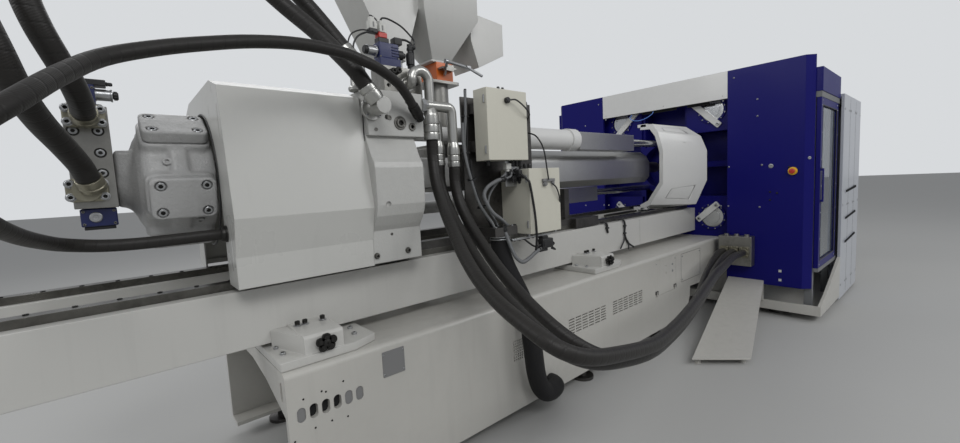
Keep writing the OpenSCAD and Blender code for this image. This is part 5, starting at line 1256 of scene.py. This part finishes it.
def buildLeads():
    for name, s in leadSet.items():
        bm = bmesh.new()
        line = smoothLine([row(*p) for p in s["points"]])
        addTube(bm, line, leadRadius, 10)
        obj = finishPiece(name, toMesh(name, bm), None, "cableBlack", "hose_rubber")
        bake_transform(obj)
    bm = bmesh.new()
    for radius, points in conduitSet:
        addConduit(bm, row, points, radius, 2)
    for radius, number, points in cableSet:
        addCable(bm, row, points, radius, number, 10)
    for place, axis, r in bundleSet["fittings"]:
        addGland(bm, row(*place), axis, r, 36, 3)
    for x, y, z, r in bundleSet["ties"]:
        # the lower part of the bundle leans forwards
        m = facing((0.25 if z < 1500 else 0, 0, -1), row(x, y, z))
        addTurned(bm, m, [(r, 0), (r + 2, 1), (r + 2, 7), (r, 8), (r, 0)], 20, 3, closed=False)
    pieceFrom("carriage_wiring", bm, "carriage", ["cableBlack", "cableGrey", "cableGrey", "blackPlastic"],
              "hose_rubber")
    # clip rail under the lower box
    bm = bmesh.new()
    addBlock(bm, row(-2200, -576, 1080), row(-1850, -548, 1092))
    for x in (-2050, -1800):
        addBlock(bm, row(x - 8, -572, 1090), row(x + 8, -556, 1106), 1)
    for x in range(-2180, -1860, 40):
        addBlock(bm, row(x - 5, -579, 1076), row(x + 5, -545, 1080), 1, 1)
    pieceFrom("clip_rail", bm, "carriage", ["zincBright", "blackPlastic"], "box_paint")
    # large plug below the rail, plug cluster and its plate under the upper box
    bm = bmesh.new()
    for low, high, edge, segments in (
            ((-1984, -620, 1008), (-1886, -575, 1066), 6, 3), ((-1976, -624, 1020), (-1894, -620, 1054), 3, 1),
            ((-1960, -600, 1060), (-1910, -560, 1081), 3, 1), ((-1990, -612, 990), (-1930, -580, 1010), 4, 1)):
        addBlock(bm, row(*low), row(*high), edge, 0, segments)
    for x, y, z, size, number in bundleSet["plugs"]:
        wide, tall = size * 0.7, size * 0.6
        addBlock(bm, row(x - wide, y - 16, z - tall), row(x + wide, y + 16, z + tall), 4, number, 2)
        addTurned(bm, facing("-z", row(x, y, z - tall)), [(size * 0.45, 0), (size * 0.45, 10), (size * 0.3, 14)], 16,
                  number)
    addBlock(bm, row(-2160, -500, 1395), row(-2030, -494, 1549), 2, 2)
    pieceFrom("plug_cluster", bm, "carriage", ["blackPlastic", "paleSwitch", "zincBright"], "hose_rubber")


def buildSleeveTop():
    # glands and rings that the sleeve hangs from
    bm = bmesh.new()
    for x, y in ((-2255, -478), (-2212, -478), (-2268, -512), (-2230, -505), (-2196, -512), (-2248, -540),
                 (-2212, -540)):
        addTurned(bm, facing("z", row(x, y, 1116)), [(13, 0), (13, 6), (11, 7), (11, 22), (8, 28)], 12)
    for radius, z, thick in ((57, 1108, 5), (58, 1094, 4)):
        ring = [row(-2230 + x, -500 + y, z) for x, y in circle(32, radius)]
        addTube(bm, ring + ring[:1], thick, 8, 1, cap=False)
    for x in (-2295, -2165):
        addSocketScrew(bm, row(x, -540, 1165), "z", 7, 7, 1)
    pieceFrom("sleeve_glands", bm, "carriage", ["blackPlastic", "zincBright"], "hose_rubber")


buildLeads()
buildSleeveTop()
print("stage: wiring")


# clamp end: guard round the nozzle, keeper straps, blue panels, gates and shell
clampSet = {
    "panel": 783, "platen": 900, "moving": 1330, "side": 1476, "gate": 1436, "coverX": 1656, "coverY": 1240,
    "front": 4370, "top": 2402, "ledge": 2127, "tieY": 520, "ties": (2060, 940), "axis": 1500,
    "keepers": [(76, 540, -44, 430), (40, -509, 41, 280)],
    "brightScrews": [(-763, 2322), (-665, 2118), (-722, 1457), (-649, 1062), (-718, 1063), (-992, 1056),
                     (-965, 2084), (-967, 1925), (-1008, 1459)],
    "darkScrews": [(-1077, 1200), (-1133, 1189), (-1077, 1124), (-1223, 1427)],
    "plates": [(-1166, 448), (-1167, 361)], "window": (920, 1546, 557, 1963),
    "gateScrews": ((905, 1560), (520, 760, 1000, 1240, 1480, 1720, 1960, 2004)),
    "guardSlots": [(262, -293, 1287), (284, -297, 1281), (258, -265, 1240), (280, -270, 1234)],
    "guardFacet": (-0.12, -0.835, -0.537), "slotTurn": 20,
}


def buildNozzleGuard():
    s = clampSet
    bm = bmesh.new()
    # hanging tabs at both ends of the sheet
    addBlock(bm, row(220, -146, 1902), row(307, -51, 1934), 3)
    addBlock(bm, row(220, -134, 1060), row(317, -39, 1084), 3)
    for z in (1914, 1076):
        addButtonScrew(bm, row(236, -150, z), "-x", 8, 1, 2)
    pieceFrom("guard_tabs", bm, "nozzle_guard", ["coverPaint", "zincBright", "blackOxide"], "cover_paint")
    bm = bmesh.new()
    # two pairs of slots on the lower facet, as thin near-black plates: painted shade for the openings
    for place in s["guardSlots"]:
        m = facing(Vector(s["guardFacet"]).normalized(), row(*place))
        addRoundPlate(bm, m @ Matrix.Rotation(math.radians(s["slotTurn"]), 4, "Z"), 7, 34, 1.2, 3, 0.4)
    pieceFrom("guard_slots", bm, "nozzle_guard", "innerShade", "cover_paint")


def buildKeepers():
    s = clampSet
    bm = bmesh.new()
    for side in (-1, 1):
        for (dy, dz, angle, length), end in grid(s["keepers"], (-1, 1)):
            a = math.radians(angle)
            along = Vector((0, side * -math.cos(a), -math.sin(a)))
            middle = row(s["platen"] - 20, side * (s["tieY"] - dy), s["axis"] + dz)
            spot = middle + along * end * (length / 2 - 27) / 1000
            addTurned(bm, facing("-x", spot), [(19, -0.5), (19, 2.5), (13, 3)], 24, closed=False)
            addSocketScrew(bm, spot, "-x", 13.5, 13)
        # tie bar ends: nut ring with a chamfered bright rim and its grub screws
        for z in s["ties"]:
            addTurned(bm, facing("-x", row(s["platen"] - 1, side * s["tieY"], z)), [
                (140, 0), (140, 6), (136, 10), (122, 10), (118, 4), (112, 4)], 48, 2, closed=False)
            for dy, dz in circle(12, 129, 15):
                addSocketScrew(bm, row(s["platen"] - 10, side * s["tieY"] + dy, z + dz), "-x", 6.5, 5)
    pieceFrom("keeper_screws", bm, "base", ["zincBright", "blackOxide", "bluePaint"], "dark_steel")


def buildPanels():
    s = clampSet
    x, top = s["panel"], s["top"]
    bm = bmesh.new()
    for side in (-1, 1):
        for screws, radius, number in ((s["brightScrews"], 8.5, 0), (s["darkScrews"], 9.5, 1)):
            for y, z in screws:
                addButtonScrew(bm, row(x, -side * y, z), "-x", radius, number)
        # lock on the panel and on the rounded corner
        addTurned(bm, facing("-x", row(x, side * 1082, 1445)), [(20, 0), (20, 3), (18, 4), (12, 4), (11, 1)], 28)
        addTurned(bm, facing((-0.707, side * 0.707, 0), row(x + 30, side * 1367, 1500)), [
            (14, 0), (14, 3), (12, 4), (5, 4), (5, 1)], 24)
    for y, z in s["plates"]:
        addBlock(bm, row(x - 3, y - 12, z - 12), row(x, y + 12, z + 12), 1, 2)
    pieceFrom("panel_screws", bm, "base", ["zincBright", "blackOxide", "paleSwitch"], "dark_steel")
    bm = bmesh.new()
    # cross beam over the platen: folded lower hem, near-black strips under it as painted shade in the gaps, and
    # screws along the top
    addBlock(bm, row(x + 2, -704, top - 271), row(x + 28, 704, top - 264.5), 1, 1)
    for a, b in ((-180, 210), (-520, -300)):
        addBlock(bm, row(x + 34, a, top - 290), row(x + 60, b, top - 268), 2, 1)
    for y in range(-640, 641, 160):
        addButtonScrew(bm, row(x + 15, y, top), "z", 8, 2)
    for y in (-660, -60, 660):
        addButtonScrew(bm, row(x, y, top - 235), "-x", 6)
    pieceFrom("beam_details", bm, "base", ["coverPaint", "innerShade", "zincBright"], "cover_paint")
    bm = bmesh.new()
    # thin air line that hangs in a loop below the cross beam
    addCable(bm, row, [(790, 62, 2128), (775, 70, 2100), (740, 120, 2060), (712, 190, 2040), (705, 260, 2050),
                       (725, 310, 2085), (772, 322, 2112), (792, 324, 2128)], 4.5, 0, 10, 8)
    pieceFrom("air_line", bm, "base", "airBlue", "hose_rubber")


def buildStopButton():
    m = facing("-x", row(clampSet["panel"], -1253, 1389))
    bm = bmesh.new()
    addTurned(bm, m, [(18, 0), (36, 0), (36.5, 4), (36.5, 17), (34, 23), (28, 25), (19, 25), (17, 21), (17, 4)], 40,
              closed=False)
    standIn("estop_housing", bm, "yellowPlastic", 40)
    bm = bmesh.new()
    addTurned(bm, m, [(15.5, 12), (15.5, 30), (21, 33), (23, 36), (23, 42), (21.5, 45.5), (18, 47.5), (8, 48)], 40)
    for x, y in circle(3, 13, 90):
        addTurned(bm, facing("-x", shifted(m, x, y, 47.2).translation), [(2.2, 0), (1.8, 0.6), (0, 0.7)], 3)
    standIn("estop_button", bm, "redPlastic", 40)


def buildGates():
    s = clampSet
    x0, x1, z0, z1 = s["window"]
    corners = [(x0, z0), (x1, z0), (x1, z1), (x0, z1)]
    for name, side in (("near", -1), ("far", 1)):
        bm = bmesh.new()
        y = side * s["gate"]
        # rubber seal round the window, handle knobs, screws and roller hangers
        for a, b in zip(corners, corners[1:] + corners[:1]):
            addRod(bm, row(a[0], y - side * 3, a[1]), row(b[0], y - side * 3, b[1]), 5.5, 8)
        for z in (1105, 1395):
            addTurned(bm, facing((0, side, 0), row(888, y, z)), [(12, 0), (12, 4), (8, 6), (8, 14)], 18)
        for x, z in grid(*s["gateScrews"]):
            addButtonScrew(bm, row(x, y, z), (0, side, 0), 6, 1, 0)
        for x in (930, 1530):
            addTurned(bm, facing((0, -side, 0), row(x, y - side * 36, 2018)), [(20, 0), (22, 2), (22, 10), (16, 12)],
                      24, 1)
        pieceFrom("gate_seal_" + name, bm, "gate_" + name, ["blackPlastic", "zincBright"], "dark_steel")


def addSeam(bm, low, high, half=(1.5, 0.6)):
    # thin dark strip between two places, widened by the half widths across the axes where the two agree
    widths = iter(half)
    grow = [0 if a != b else next(widths) for a, b in zip(low, high)]
    low, high = row(*(a - g for a, g in zip(low, grow))), row(*(b + g for b, g in zip(high, grow)))
    addBlock(bm, low, high, 0, 1)


def buildShell():
    s = clampSet
    bm = bmesh.new()
    for side in (-1, 1):
        y, cover, out = side * s["side"], side * s["coverY"], (0, side, 0)
        # side panels: seams, turn locks and vents
        for x in (1990, 2320):
            addSeam(bm, (x, y, 60), (x, y, s["ledge"] - 30))
        for x, z in grid((1700, 1945, 2035, 2280, 2365, 2600), (180, 1010, 1980)):
            addTurned(bm, facing(out, row(x, y, z)), [(13, 0), (13, 2), (11, 3), (6, 3), (5.5, 0.5)], 20)
        for z, k in grid((1130, 850, 600), range(13)):
            x, low = s["coverX"] + 175 + k * 46, z + k * 2.3
            addBlock(bm, row(x, y - 14, low + 6), row(x + 5, y - 4, low + 30), 0, 2)
        # shell behind the side panels: door seams, louvres, hinges, handles
        for x in (2700, 3240, 3780, 4300):
            addSeam(bm, (x, cover, 70), (x, cover, 2200))
        for z in (90, 2190):
            addSeam(bm, (2700, cover, z), (4300, cover, z), half=(0.6, 1.5))
        for x in (2970, 3510, 4040):
            for z in range(320, 593, 34):
                addBlock(bm, row(x - 150, cover - 4, z - 4), row(x + 150, cover + side * 6 + 4, z + 10), 1.5, 3)
            for z in (300, 1150, 2000):
                addRod(bm, row(x - 255, cover + side * 5, z - 30), row(x - 255, cover + side * 5, z + 30), 7, 12)
            addRoundPlate(bm, facing(out, row(x + 215, cover, 1150)), 34, 150, 6, 10, 2, 4)
            addBlock(bm, row(x + 209, cover + side * 6 - 3, 1105), row(x + 221, cover + side * 6 + 5, 1195), 3, 4)
    # end wall: louvres, panel joints and screws
    x = s["front"]
    for z in range(1520, 1941, 60):
        addBlock(bm, row(x - 2, -506, z), row(x + 7, 506, z + 4), 1, 3)
    for y in (-620, 620):
        addSeam(bm, (x, y, 60), (x, y, 2200), half=(0.6, 1.5))
    addSeam(bm, (x, -1200, 1180), (x, 1200, 1180), half=(0.6, 1.5))
    for y, z in grid((-1190, -670, -570, 570, 670, 1190), (100, 620, 1130, 1230, 1700, 2160)):
        addButtonScrew(bm, row(x, y, z), "x", 9, 0, 5)
    # roof: seams and sockets
    for x in (s["coverX"] + 20, 2560, 3460):
        addSeam(bm, (x, -1095, s["top"]), (x, 1095, s["top"]))
    for x, y in grid((2060, 3000, 3900), (-900, 900)):
        addTurned(bm, facing("z", row(x, y, s["top"] - 2)), [(20, 0), (20, 1.5), (16, 2), (0, 2)], 20, 5,
                  closed=False)
    pieceFrom("shell_details", bm, "base",
              ["zincBright", "innerShade", "blackPlastic", "coverPaint", "blackPlastic", "blackOxide"], "cover_paint")


def buildClampInside():
    s = clampSet
    bm = bmesh.new()
    # bolts and T-slot screws that show through the gates' windows
    for y, z in grid((-350, -175, 175, 350), (1150, 1325, 1675, 1850)):
        addHexBolt(bm, row(s["moving"], y, z), "x", 26, 14, 0)
    for side in (-1, 1):
        for z, x in grid((1440, 1500, 1560), (1240, 1300)):
            addSocketScrew(bm, row(x, side * 920, z), (0, side, 0), 12, 12)
        for z, (dy, dz) in grid(s["ties"], circle(10, 148)):
            addSocketScrew(bm, row(s["moving"], side * s["tieY"] + dy, z + dz), "x", 8, 8)
    pieceFrom("platen_bolts", bm, "base", ["boltSteel", "blackOxide"], "dark_steel")


buildNozzleGuard()
buildKeepers()
buildPanels()
buildStopButton()
buildGates()
buildShell()
buildClampInside()
print("stage: clamp end")


# bed side: screw dots, cover plate, joint lines, bracket studs, slots and hatch latches, in row millimetres
bedSet = {
    "rear": -3499, "face": 600, "railTop": 1065, "brackets": (-3400, -1270), "door": (-541, -150, 386, 689),
    "dots": [(-3435, 612), (-3398, 478), (-3362, 618), (-3345, 610), (-3330, 480), (-3270, 628), (-3262, 470),
             (-3480, 455)],
    "plate": (-3030, 634), "panel": (-44, 380, 420, 680), "slots": 6, "openSlots": (1, 2, 3),
    "cables": [
        (9, [(-905, -318, 1046), (-890, -350, 1048), (-868, -356, 1028), (-862, -354, 992), (-850, -352, 960)]),
        (8, [(-640, -318, 1046), (-622, -350, 1048), (-596, -357, 1026), (-588, -357, 985), (-590, -354, 930),
             (-570, -353, 880), (-540, -353, 840), (-500, -356, 812), (-470, -372, 790)]),
        (6, [(-590, -354, 900), (-610, -358, 860), (-650, -362, 826), (-690, -372, 806)]),
        (6, [(-560, -354, 870), (-540, -360, 836), (-548, -366, 806), (-580, -380, 786)])],
}


def addBracketFixings(bm, x, side, axis):
    # nut ring, jacking screws and foot screws of one bracket
    for dx, dz in circle(5, 1, 18):
        addHexBolt(bm, row(x + 82 + 26 * dx, side * 582, 806 + 20 * dz), axis, 19, 10, 1)
    addTurned(bm, facing(axis, row(x + 82, side * 592, 806)), [(14, 0), (14, 4), (10, 6), (4, 6), (4, 2)], 20, 1)
    for d in (28, 60, 137):
        addSocketScrew(bm, row(x + d, side * 400, 858), "z", 11, 12, 1)
        addTurned(bm, facing("z", row(x + d, side * 400, 850)), [(10, 0), (17, 0), (17, 3), (10, 3)], 20,
                  closed=False)
    for dx, dy in ((-60, 470), (250, 470), (-60, 380), (270, 380)):
        addSocketScrew(bm, row(x + dx, side * dy, 767), "z", 12, 10)


def buildBedSide():
    s = bedSet
    px, pz = s["plate"]
    x0, x1, z0, z1 = s["panel"]
    bm = bmesh.new()
    for side in (-1, 1):
        y, axis = side * s["face"], (0, side, 0)
        for x, z in s["dots"]:
            addTurned(bm, facing(axis, row(x, y, z)), [(4.5, 0), (3.8, 1.2), (0, 1.4)], 10, 1)
        # cover plate by the first bracket, and the joint lines and screws of one panel
        addRoundPlate(bm, facing(axis, row(px, y, pz)), 112, 118, 2.5, 3, 0.8, 2)
        for dx, dz in grid((-50, 50), (-46, 46)):
            addButtonScrew(bm, row(px + dx, y + side * 2.5, pz + dz), axis, 4)
        for z in (z0, z1):
            addBlock(bm, row(x0, y - 0.7, z - 1.2), row(x1, y + 0.7, z + 1.2), 0, 3)
        for x in (x0, x1):
            addBlock(bm, row(x - 1.2, y - 0.7, z0), row(x + 1.2, y + 0.7, z1), 0, 3)
        for x, z in grid((x0 + 22, x1 - 22), (z0 + 22, z1 - 22)):
            addButtonScrew(bm, row(x, y, z), axis, 7.5)
        for x in s["brackets"]:
            addBracketFixings(bm, x, side, axis)
        # beams: end plate screws and rail screws
        for z, dy in grid((826, 992), (225, 313)):
            addSocketScrew(bm, row(-4370, side * dy, z), "-x", 12, 11)
        for x in range(-4300, 880, 120):
            addSocketScrew(bm, row(x, side * 240, s["railTop"]), "z", 8.5, 3.5, 1)
    # near-black plates behind the grilles and behind the open cable slots at the rear end: painted shade for the dark
    # inside; the other slots are closed by grey plugs
    rear, near = s["rear"], -s["face"]
    addBlock(bm, row(rear + 1230, near + 25.5, 370), row(rear + 2770, near + 29, 520), 0, 3)
    for i in range(s["slots"]):
        x = rear + 52 + 49 * i
        if i in s["openSlots"]:
            addBlock(bm, row(x - 21, near + 25.5, 515), row(x + 21, near + 29, 585), 0, 3)
        else:
            addBlock(bm, row(x - 16, near + 4, 521), row(x + 16, near + 10, 579), 0, 2)
    pieceFrom("bed_fixings", bm, "base", ["zincBright", "blackOxide", "greyPlastic", "innerShade"], "dark_steel")
    bm = bmesh.new()
    # cables that dip from the rail gap over the near beam's face, with their clips
    for radius, points in s["cables"]:
        addCable(bm, row, points, radius, 0, 10)
    for x, z in ((-862, 1000), (-588, 990), (-590, 925)):
        addBlock(bm, row(x - 16, -366, z - 7), row(x + 16, -344, z + 7), 3, 1)
    pieceFrom("beam_cables", bm, "base", ["cableBlack", "blackPlastic"], "hose_rubber")
    bm = bmesh.new()
    # hatch: quarter-turn latches at the lower corners, locks and upper screws
    x0, x1, z0, z1 = s["door"]
    for x in (x0 + 26, x1 - 26):
        addRoundPlate(bm, facing("-y", row(x, near, z0 + 30)), 46, 30, 6, 6, 2)
        addBlock(bm, row(x - 4, near - 13, z0 + 14), row(x + 4, near - 6, z0 + 46))
    for z in (560, 621):
        addTurned(bm, facing("-y", row(x1 - 70, near, z)), [(10, 0), (10, 2), (8, 3), (4, 3), (4, 0.5)], 20, 1)
    for x in (x0 + 20, x1 - 20):
        addButtonScrew(bm, row(x, near, z1 - 22), "-y", 6, 1, 0)
    pieceFrom("hatch_latches", bm, "bed_door", ["blackPlastic", "zincBright"], "bed_paint")


buildBedSide()
print("stage: bed side")


# feed side and barrel guard: lever offsets (metres) from the gate block with each bar's radius
feedSet = {
    "lever": [((-0.03, 0.0, 0.0), (-0.06, -0.07, 0.06), 9), ((-0.06, -0.07, 0.06), (0.02, -0.17, 0.01), 10),
              ((0.02, -0.17, 0.01), (0.07, -0.24, -0.05), 8)],
    "joints": [(-0.06, -0.07, 0.06), (0.02, -0.17, 0.01)],
    "lidScrews": 5, "lidInset": (0.06, 0.03), "hinges": (2.68, 2.80),
    "guardScrews": range(1100, 3000, 150), "guardRadius": 150,
}


def buildFeed():
    s = feedSet
    low, high = (Vector(corner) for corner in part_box("gate_block"))
    middle = (low + high) / 2
    bm = bmesh.new()
    for dx, dy in grid((-0.048, 0.048), (-0.084, 0.084)):
        addSocketScrew(bm, Vector((middle.x + dx, middle.y + dy, high.z)), "z", 7, 8)
    # clamp lever beside the gate
    foot = Vector((middle.x + 0.02, low.y - 0.010, middle.z - 0.02))
    for a, b, radius in s["lever"]:
        addRod(bm, foot + Vector(a), foot + Vector(b), radius, 14)
    for spot in s["joints"]:
        addTurned(bm, facing("x", foot + Vector(spot) - Vector((0.015, 0, 0))), [(14, 0), (14, 30)], 16)
    pieceFrom("gate_lever", bm, "carriage", ["zincBright", "blackOxide"], "plain_steel")
    # hopper: screws along the lid and two hinge strips
    bm = bmesh.new()
    low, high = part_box("hopper_lid")
    insetX, insetY = s["lidInset"]
    for k in range(s["lidScrews"]):
        x = low[0] + insetX + k * (high[0] - low[0] - 2 * insetX) / (s["lidScrews"] - 1)
        for y in (low[1] + insetY, high[1] - insetY):
            addButtonScrew(bm, Vector((x, y, high[2])), "z", 6)
    x = (low[0] + high[0]) / 2
    for z in s["hinges"]:
        addBlock(bm, (x - 0.090, low[1], z), (x + 0.090, low[1] + 0.004, z + 0.006), 1)
    pieceFrom("hopper_screws", bm, "carriage", ["zincBright", "blackOxide"], "box_paint")
    # screws along both sides of the barrel guard
    bm = bmesh.new()
    for x, side in grid(s["guardScrews"], (-1, 1)):
        addButtonScrew(bm, car(x, side * 0.98 * s["guardRadius"], 0), (0, side, 0), 5)
    pieceFrom("guard_screws", bm, "carriage", ["zincBright", "blackOxide"], "guard_steel")


buildFeed()
print("stage: feed side")


# floor, world and lamps; lamps: place, aimed at, size, power
studioSet = {
    "floor": (0.43, 0.43, 0.42), "floorRough": 0.62, "floorHalf": 60,
    "backdrop": (0.74, 0.76, 0.78), "backdropStrength": 0.92,
    "light": (0.80, 0.82, 0.85), "lightStrength": 0.50,
    "lamps": [
        ((-5.5, -7.5, 7.5), (-0.5, 0.0, 1.0), (5.0, 3.0), 300),
        ((3.5, -8.0, 6.5), (1.5, 0.0, 1.0), (5.0, 3.0), 215),
        ((-1.0, 6.5, 7.0), (-0.5, 0.0, 1.0), (7.0, 3.0), 170),
        ((-8.5, 1.5, 5.0), (-2.5, 0.0, 1.3), (3.0, 3.0), 120),
    ],
}


def buildStudio():
    s = studioSet
    mesh = bpy.data.meshes.new("floor")
    half = s["floorHalf"]
    mesh.from_pydata([(-half, -half, 0), (half, -half, 0), (half, half, 0), (-half, half, 0)], [], [(0, 1, 2, 3)])
    mat, tree, bsdf = startMaterial("floorPaint")
    soft = cloud(tree, objectCoords(tree), 0.8, 5.0)
    feed(tree, bsdf, {"Base Color": blendColour(tree, times(tree, soft, 0.25), s["floor"], scaled(s["floor"], 0.86)),
                      "Roughness": s["floorRough"]})
    mesh.materials.append(mat)
    addToScene("floor", mesh)
    world = bpy.data.worlds.new("studio")
    bpy.context.scene.world = world
    world.use_nodes = True
    tree = world.node_tree
    tree.nodes.clear()
    rays = put(tree, "LightPath")
    seen = sums(tree, "MAXIMUM", rays.outputs["Is Camera Ray"], rays.outputs["Is Transmission Ray"])
    lit = put(tree, "Background", {"Color": opaque(s["light"]), "Strength": s["lightStrength"]})
    shown = put(tree, "Background", {"Color": opaque(s["backdrop"]), "Strength": s["backdropStrength"]})
    mix = put(tree, "MixShader", {0: seen, 1: lit.outputs[0], 2: shown.outputs[0]})
    put(tree, "OutputWorld", {0: mix.outputs[0]})
    for i, (place, aim, size, power) in enumerate(s["lamps"]):
        data = bpy.data.lights.new("lamp%d" % i, "AREA")
        data.shape = "RECTANGLE"
        data.size, data.size_y = size
        data.energy = power
        way = Vector(aim) - Vector(place)
        turn = way.to_track_quat("-Z", "Y").to_matrix().to_4x4()
        addToScene("lamp%d" % i, data).matrix_world = Matrix.Translation(place) @ turn


buildStudio()
print("stage: studio built")
